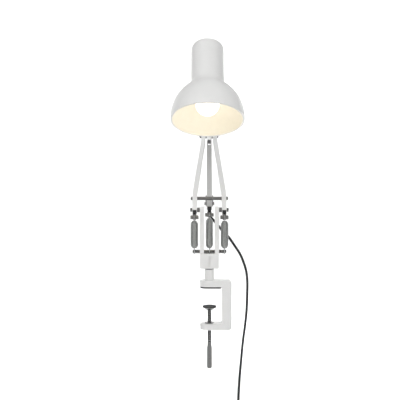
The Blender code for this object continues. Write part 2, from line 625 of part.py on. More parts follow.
link_plug = crossed("link_plug", BLACK, rounded(block(
    -PLUG_WIDTH / 2, PLUG_WIDTH / 2, -ROD_UP - 0.0052, -LINK_END - GAP, 0.0016, 0)),
    BAR_DEPTH + 2 * CUT, rounded(block(-0.0052, 0.0052, -ROD_UP - 0.0052, -LINK_END - GAP,
                                       0.0051, 0)), 0.1, "x", link_at)
bore(link_plug, SPRING_PIN_RADIUS + GAP, -0.02, 0.02, "x", link_at, (0, 0, -ROD_UP))
hook_room = plate("cutter_hook_centre", None, rounded(block(
    -0.0013, 0.0013, -ROD_UP - 0.01, -ROD_UP + 0.0062)), 0.02, "y", link_at)
combine(link_plug, hook_room, "DIFFERENCE")
round_bar("spring_pin_centre", STEEL, SPRING_PIN_RADIUS, -CENTRE_PIN_HALF, CENTRE_PIN_HALF,
          "x", link_at, centre=(0, 0, -ROD_UP))
gland_up = -LINK_END - 0.0060
gland = turned("cord_gland", BLACK, [
    (0.0062, 0), (0.0062, 0.0030), (0.0012, 0.0036), (0.0012, 0.0042), (GAP, 0.0042), (GAP, 0)],
    link_at, steps=20, location=(0, 0.0052, gland_up))
gland.rotation_euler = (-math.pi / 2, 0, 0)
GLAND_END = CRANK_PIN + leaning(LOWER_LEAN, gland_up)
GLAND_END += leaning(LOWER_LEAN + math.pi / 2, 0.0052 + 0.0062 + GAP)

# ---------------------------------------------------------------- upper arm
upper_end = UPPER_LENGTH + half_depth
upper_half = UPPER_WIDTH / 2
tail_stop = 0.0078                # how far the tube runs past the elbow
upper_arm = crossed("upper_arm", WHITE, rounded(block(
    -upper_half, upper_half, -tail_stop, upper_end + CUT)), BAR_DEPTH + 2 * CUT,
    rounded(block(-half_depth, half_depth, -tail_stop, upper_end, 0.0008,
                  half_depth - 0.00002)), 0.1, "x", elbow_at)
bore(upper_arm, PIVOT_RADIUS + GAP, -0.02, 0.02, "x", elbow_at)
bore(upper_arm, PIVOT_RADIUS + GAP, -0.02, 0.02, "x", elbow_at, (0, 0, UPPER_LENGTH))
spacer_end = ELBOW_SPREAD - BAR_WIDTH / 2 - GAP
ring("elbow_spacer_left", STEEL, PIVOT_RADIUS + GAP, 0.0052, -spacer_end, -upper_half - GAP,
     elbow_at)
ring("elbow_spacer_right", STEEL, PIVOT_RADIUS + GAP, 0.0052, upper_half + GAP, spacer_end,
     elbow_at)

tail_at = frame_at("tail_origin", TAIL, math.pi / 2 + CRANK_DROP)
tail_reach = CRANK_RADIUS - tail_stop - 0.0010
tail_cap = crossed("tail_cap", BLACK, rounded(block(
    -TONGUE_WIDTH / 2, TONGUE_WIDTH / 2, -tail_reach, 0.0050)), BAR_DEPTH, rounded(block(
        -0.0044, 0.0044, -tail_reach, 0.0045, 0, 0.0043)), 0.1, "x", tail_at)
bore(tail_cap, PIVOT_RADIUS + GAP, -0.02, 0.02, "x", tail_at)
round_bar("link_pin", STEEL, PIVOT_RADIUS, -link_half - 0.0004, link_half + 0.0004, "x",
          tail_at)

# ---------------------------------------------------------------- knuckle
knuckle_at = frame_at("tilt_origin", TILT, SHADE_LEAN - math.pi / 2)
cheek_in = upper_half + GAP
cheek_out = cheek_in + 0.0030
crotch = half_depth + 0.0012
stub_end = STUB_LENGTH - GAP
knuckle = crossed("shade_knuckle", WHITE, rounded([
    (-cheek_out, -0.0055, 0), (-cheek_in, -0.0055, 0), (-cheek_in, crotch, 0),
    (cheek_in, crotch, 0), (cheek_in, -0.0055, 0), (cheek_out, -0.0055, 0),
    (cheek_out, crotch + 0.0035, 0.002), (-cheek_out, crotch + 0.0035, 0.002)]),
    0.016, rounded(block(-0.0058, 0.0058, -0.0055, crotch + 0.0035, 0.0054, 0.001)),
    0.1, "x", knuckle_at)
stub_middle = (STUB_OFFSET, 0, 0)
add_bar(knuckle, STUB_RADIUS, crotch + 0.0030, stub_end, "z", knuckle_at, stub_middle)
add_bar(knuckle, STUB_SCREW, stub_end - CUT, stub_end + 0.0055, "z", knuckle_at,
        stub_middle, 16)
bore(knuckle, PIVOT_RADIUS + GAP, -0.02, 0.02, "x", knuckle_at)
turned("tilt_screw", STEEL, [
    (cheek_out + 0.0040, 0), (cheek_out + 0.0040, 0.0052), (cheek_out + 0.0032, 0.0060),
    (cheek_out + GAP, 0.0060), (cheek_out + GAP, PIVOT_RADIUS),
    (-cheek_out - 0.0020, PIVOT_RADIUS), (-cheek_out - 0.0020, 0)], knuckle_at,
       steps=18, facing="x")

# ------------------------------------------------------------------- shade
shade_at = frame_at("shade_origin", RIM, SHADE_LEAN)


def shade_profile():
    """Outer side of the shade from the switch hole down to the rim."""
    side = [(SHADE_LENGTH, SWITCH_RADIUS + GAP)]
    for k in range(5):
        angle = math.pi / 2 * k / 4
        side.append((SHADE_LENGTH - NECK_FILLET * (1 - math.cos(angle)),
                     NECK_RADIUS - NECK_FILLET * (1 - math.sin(angle))))
    flare = NECK_END - DOME_TOP
    spread = DOME_TOP_RADIUS - NECK_RADIUS
    for k in range(4):
        share = k / 3
        side.append((NECK_END - flare * share, NECK_RADIUS + spread * share ** 2.2))
    bell = RIM_RADIUS - DOME_TOP_RADIUS
    for k in range(1, 8):
        share = k / 7
        side.append((DOME_TOP * (1 - share) ** 1.0,
                     DOME_TOP_RADIUS + bell * (1 - (1 - share) ** 2.35) ** 0.86))
    return side


def inset(side, wall):
    """The same side moved inwards by the wall."""
    moved = []
    for i, (z, radius) in enumerate(side):
        before = Vector(side[max(i - 1, 0)])
        after = Vector(side[min(i + 1, len(side) - 1)])
        along = (after - before).normalized()
        moved.append((z - along.y * wall, radius + along.x * wall))
    return moved


outer_side = shade_profile()
inner_side = inset(outer_side, SHADE_WALL)
inner_side[0] = (SHADE_LENGTH - SHADE_WALL, SWITCH_RADIUS + GAP)
inner_side[-1] = (0, RIM_RADIUS - SHADE_WALL)
shade = turned("shade", WHITE, outer_side + inner_side[::-1], shade_at, closed=True, steps=36)
bore(shade, STUB_SCREW + GAP, NECK_RADIUS - 0.006, NECK_RADIUS + 0.006, "y", shade_at,
     (0, 0, STUB_UP), 16)

holder_low = DOME_TOP + 0.001
holder_high = SHADE_LENGTH - 0.0165
socket_depth = 0.022
turned("lamp_holder", BLACK, [
    (holder_high, 0), (holder_high, HOLDER_RADIUS - 0.004), (holder_high - 0.004, HOLDER_RADIUS),
    (holder_low, HOLDER_RADIUS), (holder_low, CAP_RADIUS + GAP),
    (holder_low + socket_depth, CAP_RADIUS + GAP), (holder_low + socket_depth, 0)], shade_at)
bulb_top = holder_low - 0.0010
turned("bulb_cap", STEEL, [
    (holder_low + socket_depth - 0.001, 0), (holder_low + socket_depth - 0.001, 0.006),
    (holder_low + socket_depth - 0.004, CAP_RADIUS), (bulb_top, CAP_RADIUS), (bulb_top, 0)],
       shade_at, steps=18)
bulb_side = [(bulb_top - GAP, 0), (bulb_top - GAP, CAP_RADIUS - 0.0008)]
for k in range(9):
    angle = math.radians(48) + (math.pi - math.radians(48)) * k / 8
    bulb_side.append((BULB_CENTRE + BULB_RADIUS * math.cos(angle),
                      BULB_RADIUS * math.sin(angle)))
bulb_side[-1] = (BULB_CENTRE - BULB_RADIUS, 0)
turned("bulb", CREAM, bulb_side, shade_at, steps=18)

switch_low = holder_high + GAP
switch_flange = SHADE_LENGTH + GAP
turned("switch_body", BLACK, [
    (switch_flange + 0.0015, SWITCH_RADIUS + 0.0015), (switch_flange, SWITCH_RADIUS + 0.0020),
    (switch_flange, SWITCH_RADIUS), (switch_low, SWITCH_RADIUS),
    (switch_low, BUTTON_RADIUS + GAP), (switch_flange + 0.0015, BUTTON_RADIUS + GAP)],
       shade_at, closed=True, steps=18)
button_low = switch_low + 0.0045
button_high = switch_flange + 0.0035
turned("switch_button", BLACK, [
    (button_high, 0), (button_high, BUTTON_RADIUS - 0.0006), (button_high - 0.0006, BUTTON_RADIUS),
    (button_low, BUTTON_RADIUS), (button_low, 0)], shade_at, steps=20)


# ------------------------------------------------------------------ springs
def hook_points(pin_radius, up):
    """A hook round a pin on the X axis, with a stem that ends in the coil."""
    loop = pin_radius + WIRE_RADIUS + GAP
    points = []
    for k in range(11):
        angle = math.radians(-225 + 27 * k)
        points.append((0, loop * math.cos(angle), loop * math.sin(angle) * up))
    points.append((0, 0.0004, up * (HOOK_STEM - 0.0006)))
    points.append((0, 0, up * (HOOK_STEM + 0.0012)))
    points.append((0, 0, up * (HOOK_STEM + 0.0060)))
    return points


def coil_points(length):
    """A coil with coned ends, from one hook's stem to the other's."""
    body = length - 2 * HOOK_STEM
    turns = max(6, round(body / COIL_PITCH))
    points = []
    for k in range(turns * 8 + 1):
        z = body * k / (turns * 8)
        edge = min(z, body - z, CONE_LENGTH) / CONE_LENGTH
        radius = CONE_RADIUS + (COIL_RADIUS - CONE_RADIUS) * math.sin(edge * math.pi / 2)
        angle = 2 * math.pi * k / 8
        points.append((radius * math.cos(angle), radius * math.sin(angle), HOOK_STEM + z))
    return points


def spring(name, base, tip):
    """A coil with a hook at each end, between two pins."""
    reach = tip - base
    length = reach.length
    at = frame_at(f"{name}_origin", base, math.atan2(reach.y, reach.z))
    tip_at = frame_at(f"{name}_top", tip, math.atan2(reach.y, reach.z))
    wire(f"{name}_coil", SPRING_STEEL, coil_points(length), WIRE_RADIUS, at)
    wire(f"{name}_hook_low", SPRING_STEEL, hook_points(ANCHOR_RADIUS, 1), WIRE_RADIUS, at, 1)
    wire(f"{name}_hook_top", SPRING_STEEL, hook_points(SPRING_PIN_RADIUS, -1), WIRE_RADIUS,
         tip_at, 1)


spring("spring_left", ANCHOR + Vector((-SPRING_SPREAD, 0, 0)),
       OUTER_PIN + Vector((-SPRING_SPREAD, 0, 0)))
spring("spring_right", ANCHOR + Vector((SPRING_SPREAD, 0, 0)),
       OUTER_PIN + Vector((SPRING_SPREAD, 0, 0)))
spring("spring_centre", ANCHOR, CENTRE_PIN)

# --------------------------------------------------------------------- cord
CORD_ROUTE = [
    GLAND_END, GLAND_END + leaning(LOWER_LEAN + math.pi / 2, 0.004),
    (0.0075, 0.0430, 0.1270), (0.0189, 0.0420, 0.1139), (0.0290, 0.0380, 0.1012),
    (0.0380, 0.0340, 0.0930), (0.0488, 0.0300, 0.0775), (0.0590, 0.0270, 0.0618),
    (0.0657, 0.0250, 0.0467), (0.0710, 0.0230, 0.0295), (0.0730, 0.0215, 0.0126),
    (0.0732, 0.0205, -0.0042), (0.0724, 0.0195, -0.0296), (0.0717, 0.0190, -0.0464),
    (0.0700, 0.0185, -0.0634), (0.0680, 0.0180, -0.0803), (0.0652, 0.0175, -0.1006),
    (0.0627, 0.0170, -0.1227), (0.0604, 0.0165, -0.1480), (0.0581, 0.0160, -0.1725),
    (0.0562, 0.0155, -0.2020), (0.0555, 0.0150, -0.2340)]
cord_at = frame_at("cord_origin", GLAND_END)
# The cord swings about the middle of its round top end, clear of the gland.
nose = [math.radians(angle) for angle in (12, 35, 60, 90)]
route = [leaning(LOWER_LEAN + math.pi / 2, CORD_RADIUS * (1 - math.cos(a))) for a in nose]
route += [point - GLAND_END for point in smooth_route(CORD_ROUTE, 42)[1:]]
wire("cord", CORD_BLACK, route, CORD_RADIUS, cord_at, 2, [math.sin(a) for a in nose])

hang = Vector(CORD_ROUTE[-1])
coil_outside = COIL_MEAN + COIL_BUNDLE
coil_at = frame_at("cord_coil_origin", hang - Vector((0, 0, coil_outside + GAP)))
coil_side = [(COIL_BUNDLE * math.sin(2 * math.pi * k / 10),
              COIL_MEAN + COIL_BUNDLE * math.cos(2 * math.pi * k / 10)) for k in range(10)]
cord_coil = turned("cord_coil", CORD_BLACK, coil_side[::-1], coil_at, closed=True, steps=22)
cord_coil.rotation_euler = (math.pi / 2, 0, 0)

tail_top = hang - Vector((0, 0, 2 * (coil_outside + GAP)))
tail_at = frame_at("cord_tail_origin", tail_top)
wire("cord_tail", CORD_BLACK, [(0, 0, -TAIL_DROP * k / 3) for k in range(4)], CORD_RADIUS,
     tail_at, 2)
plug_at = frame_at("plug_origin", tail_top - Vector((0, 0, TAIL_DROP + GAP)))
mains_plug = crossed("plug", CORD_BLACK, rounded([
    (-0.0035, 0, 0.001), (0.0035, 0, 0.001), (0.0065, -0.010, 0.002), (0.0170, -0.020, 0.004),
    (0.0170, -PLUG_LENGTH, 0.003), (-0.0170, -PLUG_LENGTH, 0.003), (-0.0170, -0.020, 0.004),
    (-0.0065, -0.010, 0.002)][::-1], 3), 0.013, rounded(block(
        -0.0065, 0.0065, -PLUG_LENGTH - CUT, CUT)), 0.1, "x", plug_at)
for sign in (-1, 1):
    add_bar(mains_plug, 0.0020, -PLUG_LENGTH - PIN_LENGTH, -PLUG_LENGTH + CUT, "z", plug_at,
            (sign * 0.0095, 0, 0), 12)
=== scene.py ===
"""Looks of the clamp-on swing arm desk lamp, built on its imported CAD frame.

Units are metres and +Z is up.  Points A to G are the mechanism's pivots:
A lower pivot, B elbow, C tail, D crank pin, E balance rod, F centre
spring's pin, G outer springs' pins, and P the shade's tilt pivot.
"""
import json
import math

import bmesh
import bpy
from mathutils import Matrix, Vector

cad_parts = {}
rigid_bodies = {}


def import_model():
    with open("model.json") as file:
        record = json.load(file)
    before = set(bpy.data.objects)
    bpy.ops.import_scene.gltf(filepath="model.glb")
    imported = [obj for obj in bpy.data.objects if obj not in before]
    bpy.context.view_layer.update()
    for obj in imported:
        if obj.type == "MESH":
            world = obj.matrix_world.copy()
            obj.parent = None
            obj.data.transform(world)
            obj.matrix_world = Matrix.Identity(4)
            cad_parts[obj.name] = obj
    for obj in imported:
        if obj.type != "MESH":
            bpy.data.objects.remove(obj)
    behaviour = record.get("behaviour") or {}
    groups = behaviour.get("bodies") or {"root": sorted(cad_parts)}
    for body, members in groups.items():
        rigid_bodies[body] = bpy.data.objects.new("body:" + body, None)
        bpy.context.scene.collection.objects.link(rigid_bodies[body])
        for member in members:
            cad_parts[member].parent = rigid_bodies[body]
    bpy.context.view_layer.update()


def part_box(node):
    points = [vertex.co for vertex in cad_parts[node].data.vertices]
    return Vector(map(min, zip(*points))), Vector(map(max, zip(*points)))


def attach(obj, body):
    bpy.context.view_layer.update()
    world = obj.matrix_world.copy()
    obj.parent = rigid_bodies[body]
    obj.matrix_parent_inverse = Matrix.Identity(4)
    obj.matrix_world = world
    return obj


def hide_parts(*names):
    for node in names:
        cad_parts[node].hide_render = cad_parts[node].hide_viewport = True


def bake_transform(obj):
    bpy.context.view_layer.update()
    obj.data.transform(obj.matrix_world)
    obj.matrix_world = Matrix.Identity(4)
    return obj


for item in list(bpy.data.objects):
    bpy.data.objects.remove(item)
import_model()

X_AXIS = Vector((1, 0, 0))
CORD_RADIUS = 0.0025
WIRE_RADIUS = 0.0008
PIVOT_BORE = 0.0029                 # round the pivot screws
PIN_BORE = 0.0037                   # round the crank's pin and the anchor rod
ROD_BORE = 0.00375                  # round the balance bar
ANCHOR_RADIUS = 0.0034
SPOOL_RADIUS = 0.0036
BAR_SPREAD = 0.028                  # from the middle to an outer bar
SPRING_SPREAD = 0.0285              # from the middle to an outer spring


# ------------------------------------------------------------- pivots
def step(angle, length):
    """A step in the YZ plane, leaning back from upright by the angle."""
    return Vector((0, math.sin(angle), math.cos(angle))) * length


LEAN = math.radians(45)
RISE = math.radians(17.5) - math.pi / 2
DROP = math.pi / 2 + math.radians(25.2)
SHADE_LEAN = math.radians(19.3)
LOWER, UPPER, ROD_UP, SPRING_ARM = 0.223, 0.2304, 0.0308, 0.0192
CRANK = 0.024                       # every short side of the parallelogram
STUB_LENGTH, STUB_HEIGHT = 0.048, 0.099
SHADE_SHIFT = -0.0035               # the shade sits a little to the left
A = Vector((0, 0, 0.1473))
E = A + step(LEAN, ROD_UP)
B = A + step(LEAN, LOWER)
C = B + step(DROP, CRANK)
D = E + step(DROP, CRANK)
F = A + step(DROP, CRANK)
G = A - step(LEAN, SPRING_ARM)
P = B + step(RISE, UPPER)
ANCHOR = Vector((0, 0, 0.0685))
STUB = step(SHADE_LEAN - math.pi / 2, 1)
RIM = P + STUB * STUB_LENGTH - step(SHADE_LEAN, STUB_HEIGHT) + Vector((SHADE_SHIFT, 0, 0))


# ---------------------------------------------------------- materials
def surface(name, colour, roughness, metallic=0.0, shade=0.06, scale=400, stretch=(1, 1, 1),
            bump=0.05, bump_scale=1500, coat=0.0, wear=0.05):
    """A painted, plated or moulded surface with fine grain from noise."""
    made = bpy.data.materials.new(name)
    made.use_nodes = True
    nodes = made.node_tree.nodes
    links = made.node_tree.links
    shader = nodes["Principled BSDF"]
    shader.inputs["Metallic"].default_value = metallic
    shader.inputs["Coat Weight"].default_value = coat
    shader.inputs["Coat Roughness"].default_value = 0.25
    place = nodes.new("ShaderNodeTexCoord")
    turn = nodes.new("ShaderNodeMapping")
    turn.inputs["Scale"].default_value = stretch
    links.new(place.outputs["Object"], turn.inputs["Vector"])

    broad = nodes.new("ShaderNodeTexNoise")
    broad.inputs["Scale"].default_value = scale
    broad.inputs["Detail"].default_value = 4
    links.new(turn.outputs["Vector"], broad.inputs["Vector"])
    tint = nodes.new("ShaderNodeValToRGB")
    tint.color_ramp.elements[0].position = 0.3
    tint.color_ramp.elements[1].position = 0.7
    tint.color_ramp.elements[0].color = (*[c * (1 - shade) for c in colour], 1)
    tint.color_ramp.elements[1].color = (*colour, 1)
    links.new(broad.outputs["Fac"], tint.inputs["Fac"])
    links.new(tint.outputs["Color"], shader.inputs["Base Color"])

    gloss = nodes.new("ShaderNodeMapRange")
    gloss.inputs["To Min"].default_value = max(0.02, roughness - wear)
    gloss.inputs["To Max"].default_value = min(1.0, roughness + wear)
    links.new(broad.outputs["Fac"], gloss.inputs["Value"])
    links.new(gloss.outputs["Result"], shader.inputs["Roughness"])

    grain = nodes.new("ShaderNodeTexNoise")
    grain.inputs["Scale"].default_value = bump_scale
    grain.inputs["Detail"].default_value = 3
    links.new(turn.outputs["Vector"], grain.inputs["Vector"])
    raise_by = nodes.new("ShaderNodeBump")
    raise_by.inputs["Strength"].default_value = bump
    raise_by.inputs["Distance"].default_value = 0.0002
    links.new(grain.outputs["Fac"], raise_by.inputs["Height"])
    links.new(raise_by.outputs["Normal"], shader.inputs["Normal"])
    return made


WHITE = surface("satin_white_paint", (0.84, 0.84, 0.83), 0.36, shade=0.02, scale=90,
                bump=0.12, bump_scale=1900, coat=0.15)
# The shade's inside is the same white paint, drawn lighter and warmer: a painted glow of the
# bulb's light.
INNER_PAINTED_GLOW = surface("inner_white_painted_glow", (0.90, 0.88, 0.82), 0.5, shade=0.03, scale=120,
                bump=0.10, bump_scale=1700)
CHROME = surface("bright_plated_steel", (0.27, 0.27, 0.265), 0.2, 1.0, shade=0.15, scale=350,
                 bump=0.04)
TURNED = surface("turned_steel", (0.26, 0.257, 0.25), 0.3, 1.0, shade=0.2, scale=500,
                 stretch=(6, 1, 1), bump=0.1, bump_scale=900)
SATIN = surface("satin_aluminium", (0.70, 0.70, 0.69), 0.38, 1.0, shade=0.12, scale=300,
                stretch=(8, 8, 0.4), bump=0.12, bump_scale=700)
SPRING = surface("spring_wire", (0.50, 0.51, 0.50), 0.3, 1.0, shade=0.3, scale=600, bump=0.06)
BLACK = surface("moulded_black", (0.018, 0.018, 0.019), 0.42, shade=0.3, scale=500, bump=0.25,
                bump_scale=1400)
RUBBER = surface("dark_rubber", (0.05, 0.05, 0.052), 0.78, shade=0.35, scale=600, bump=0.4,
                 bump_scale=1100)
FLEX = surface("black_flex", (0.016, 0.016, 0.017), 0.36, shade=0.25, scale=300, bump=0.12,
               bump_scale=900, coat=0.1)
NYLON = surface("black_nylon", (0.03, 0.03, 0.032), 0.5, shade=0.2, scale=400, bump=0.1)
GLASS = surface("lit_opal_glass", (1.0, 0.96, 0.88), 0.25, shade=0.02, scale=60, bump=0.02)
glow = GLASS.node_tree.nodes["Principled BSDF"]
glow.inputs["Emission Color"].default_value = (1.0, 0.90, 0.70, 1)
glow.inputs["Emission Strength"].default_value = 1.6


# ------------------------------------------------------------ helpers
def at(place, lean=0.0):
    """A matrix at a point whose +Z leans back by the angle."""
    return Matrix.Translation(place) @ Matrix.Rotation(-lean, 4, "X")


def keep(obj, body, stands_for):
    """Give a finished piece its body and the nodes it replaces."""
    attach(obj, body)
    if stands_for:
        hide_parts(*stands_for)
    return obj


def add(name, data, material, matrix):
    """Put data in the scene as an object."""
    obj = bpy.data.objects.new(name, data)
    bpy.context.scene.collection.objects.link(obj)
    obj.matrix_world = matrix
    if material:
        data.materials.append(material)
    return obj


def bake(obj):
    """Apply what is on an object and weld it; a curve becomes a mesh."""
    bpy.context.view_layer.update()
    depsgraph = bpy.context.evaluated_depsgraph_get()
    mesh = bpy.data.meshes.new_from_object(obj.evaluated_get(depsgraph))
    edit = bmesh.new()
    edit.from_mesh(mesh)
    bmesh.ops.remove_doubles(edit, verts=edit.verts, dist=0.000005)
    edit.to_mesh(mesh)
    edit.free()
    old = obj.name
    matrix = obj.matrix_world.copy()
    bpy.data.objects.remove(obj)
    made = bpy.data.objects.new(old, mesh)
    bpy.context.scene.collection.objects.link(made)
    made.matrix_world = matrix
    return made


def rounded(corners, steps=8):
    """Outline through corners (x, y, radius), each with its own radius."""
    outline = []
    for i, (x, y, radius) in enumerate(corners):
        here = Vector((x, y))
        if radius <= 0:
            outline.append(here)
            continue
        before = (Vector(corners[i - 1][:2]) - here).normalized()
        after = (Vector(corners[(i + 1) % len(corners)][:2]) - here).normalized()
        half = before.angle(after) / 2
        centre = here + (before + after).normalized() * radius / math.sin(half)
        start = here + before * radius / math.tan(half) - centre
        end = here + after * radius / math.tan(half) - centre
        first = math.atan2(start.y, start.x)
        sweep = (math.atan2(end.y, end.x) - first + math.pi) % (2 * math.pi) - math.pi
        for k in range(steps + 1):
            angle = first + sweep * k / steps
            outline.append(centre + radius * Vector((math.cos(angle), math.sin(angle))))
    return [p for i, p in enumerate(outline) if (p - outline[i - 1]).length > 0.00001]


def oblong(x0, x1, y0, y1, near=0.0, far=None):
    """A box outline with a radius at its low end and another at its high end."""
    far = near if far is None else far
    return rounded([(x0, y0, near), (x1, y0, near), (x1, y1, far), (x0, y1, far)])


FACING = {"y": Matrix.Rotation(math.pi / 2, 4, "X"),
          "x": Matrix.Rotation(math.pi / 2, 4, "Z") @ Matrix.Rotation(math.pi / 2, 4, "X"),
          "z": Matrix.Identity(4)}


def plate(name, outline, thickness, facing, matrix, material=None):
    """A flat outline with a thickness, as a mesh."""
    curve = bpy.data.curves.new(name, "CURVE")
    curve.dimensions = "2D"
    curve.fill_mode = "BOTH"
    curve.extrude = thickness / 2
    spline = curve.splines.new("POLY")
    spline.points.add(len(outline) - 1)
    for point, place in zip(spline.points, outline):
        point.co = (place[0], place[1], 0, 1)
    spline.use_cyclic_u = True
    return bake(add(name, curve, material, matrix @ FACING[facing]))


def combine(obj, others, operation):
    """Cut, join or trim a piece by others, which are then removed."""
    for other in others:
        made = obj.modifiers.new(operation.lower(), "BOOLEAN")
        made.operation = operation
        made.object = other
        made.solver = "EXACT"
    obj = bake(obj)
    for other in others:
        bpy.data.objects.remove(other)
    return obj


def soften(obj, width, segments=3, angle=35):
    """Rounded edges and even shading on a machined or cast piece."""
    obj.data.shade_smooth()
    bevel = obj.modifiers.new("rounded_edges", "BEVEL")
    bevel.width = width
    bevel.segments = segments
    bevel.limit_method = "ANGLE"
    bevel.angle_limit = math.radians(angle)
    bevel.harden_normals = True
    bevel.use_clamp_overlap = True
    return obj


def bar(radius, start, end, along, matrix, centre=(0, 0, 0), sides=48, name="cutter"):
    """A plain cylinder mesh along x, y or z, to cut or join with."""
    mesh = bpy.data.meshes.new(name)
    edit = bmesh.new()
    bmesh.ops.create_cone(edit, cap_ends=True, segments=sides, radius1=radius, radius2=radius,
                          depth=end - start)
    edit.to_mesh(mesh)
    edit.free()
    middle = (start + end) / 2
    shift = {"x": (middle, 0, 0), "y": (0, middle, 0), "z": (0, 0, middle)}[along]
    turn = {"x": Matrix.Rotation(math.pi / 2, 4, "Y"), "z": Matrix.Identity(4),
            "y": Matrix.Rotation(math.pi / 2, 4, "X")}[along]
    place = Matrix.Translation(Vector(centre) + Vector(shift))
    return add(name, mesh, None, matrix @ place @ turn)


def turned(name, material, profile, matrix, body, stands_for=(), facing="z", steps=72,
           closed=False, edge=0.00025):
    """Turn a profile of (z, radius), listed down its outer side."""
    mesh = bpy.data.meshes.new(name)
    edges = [(i, i + 1) for i in range(len(profile) - 1)]
    if closed:
        edges.append((len(profile) - 1, 0))
    mesh.from_pydata([(radius, 0, z) for z, radius in profile], edges, [])
    turn = Matrix.Rotation(math.pi / 2, 4, "Y") if facing == "x" else Matrix.Identity(4)
    obj = add(name, mesh, material, matrix @ turn)
    screw = obj.modifiers.new("turn", "SCREW")
    screw.steps = steps
    screw.render_steps = steps
    screw.use_merge_vertices = True
    screw.merge_threshold = 0.00001
    obj = bake(obj)
    obj.data.shade_smooth()
    if edge:
        soften(obj, edge, 2)
    else:
        obj.data.set_sharp_from_angle(angle=math.radians(40))
    return keep(obj, body, stands_for) if body else obj


def rod(name, material, radius, start, end, matrix, body, stands_for, ends=0.0005):
    """A round pin along X with chamfered ends."""
    profile = [(end, 0), (end, radius - ends), (end - ends, radius), (start + ends, radius),
               (start, radius - ends), (start, 0)]
    return turned(name, material, profile, matrix, body, stands_for, "x", 48, edge=0.0002)


def sleeve(name, material, inner, outer, start, end, matrix, body, stands_for):
    """A spacer along X."""
    profile = [(end, outer), (start, outer), (start, inner), (end, inner)]
    return turned(name, material, profile, matrix, body, stands_for, "x", 48, True, 0.0004)


def crossed(name, material, front, depth, side, matrix, facing="x"):
    """A front outline trimmed by a second outline at right angles."""
    obj = plate(name, front, depth, "y", matrix, material)
    return combine(obj, [plate("trim", side, 0.5, facing, matrix)], "INTERSECT")


def bar_side(low, high):
    """Side view of an arm's bar: nearly square below, fully rounded above."""
    return oblong(-0.0055, 0.0055, low, high, 0.0008, 0.00548)


def tube(name, points, radius, material, sides=3):
    """A round wire or cord through the points, as a mesh."""
    curve = bpy.data.curves.new(name, "CURVE")
    curve.dimensions = "3D"
    curve.bevel_depth = radius
    curve.bevel_resolution = sides
    curve.use_fill_caps = True
    spline = curve.splines.new("POLY")
    spline.points.add(len(points) - 1)
    for point, place in zip(spline.points, points):
        point.co = (*place, 1)
    obj = bake(add(name, curve, material, Matrix.Identity(4)))
    obj.data.shade_smooth()
    obj.data.set_sharp_from_angle(angle=math.radians(60))
    return obj


# ------------------------------------------------------------- camera
lens = bpy.data.cameras.new("camera")
lens.lens = 50
lens.sensor_width = 36
lens.shift_x = -0.02
lens.clip_end = 20
camera = bpy.data.objects.new("camera", lens)
camera.location = (-0.0027, -1.052, 0.166)
camera.rotation_euler = (math.pi / 2, 0, 0)
bpy.context.scene.collection.objects.link(camera)
bpy.context.scene.camera = camera

# --------------------------------------------------------------- cord
ACROSS = LEAN + math.pi / 2
GLAND_DROP = 0.0185                 # from the crank's pin down the link
GLAND = D - step(LEAN, GLAND_DROP) + step(ACROSS, 0.0117)
ROUTE = [
    GLAND, GLAND + step(ACROSS, 0.004),
    (0.0075, 0.0430, 0.1270), (0.0189, 0.0420, 0.1139), (0.0290, 0.0380, 0.1012),
    (0.0380, 0.0340, 0.0930), (0.0488, 0.0300, 0.0775), (0.0590, 0.0270, 0.0618),
    (0.0657, 0.0250, 0.0467), (0.0710, 0.0230, 0.0295), (0.0730, 0.0215, 0.0126),
    (0.0732, 0.0205, -0.0042), (0.0724, 0.0195, -0.0296), (0.0717, 0.0190, -0.0464),
    (0.0700, 0.0185, -0.0634), (0.0680, 0.0180, -0.0803), (0.0652, 0.0175, -0.1006),
    (0.0627, 0.0170, -0.1227), (0.0604, 0.0165, -0.1480), (0.0581, 0.0160, -0.1725),
    (0.0562, 0.0155, -0.2020)]
RING = Vector((0.0555, 0.0150, -0.2340 - 0.0378))
RING_MEAN = 0.030
BEND = 0.023                        # where the cord enters and leaves the coil
FIRST_OUT, LAST_OUT = 0.0025, 0.0050
# Strands lie in a hexagon round the middle of the bundle, in mm and degrees.
PLACES = [(5.0, 60), (5.0, 120), (5.0, 180), (0.0, 0), (5.0, 240), (5.0, 300), (5.0, 0)]


def smooth_route(through, spacing=0.003):
    """Points at even steps along a smooth curve through the given ones."""
    knots = [Vector(p) for p in through]
    knots = [2 * knots[0] - knots[1]] + knots + [2 * knots[-1] - knots[-2]]
    fine = []
    for before, start, end, after in zip(knots, knots[1:], knots[2:], knots[3:]):
        for k in range(24):
            t = k / 24
            fine.append(0.5 * (2 * start + (end - before) * t
                               + (2 * before - 5 * start + 4 * end - after) * t ** 2
                               + (3 * start - before - 3 * end + after) * t ** 3))
    fine.append(knots[-2])
    route = [fine[0]]
    for point in fine[1:]:
        if (point - route[-1]).length >= spacing:
            route.append(point)
    return route


def ring_point(turns_done, radial, axial):
    """A point on the coil, clockwise from its top as seen from the front."""
    angle = 2 * math.pi * turns_done
    radius = RING_MEAN + radial
    return RING + Vector((radius * math.sin(angle), axial, radius * math.cos(angle)))


def eased(t):
    """A smooth share from 0 to 1."""
    t = min(max(t, 0.0), 1.0)
    return t * t * (3 - 2 * t)


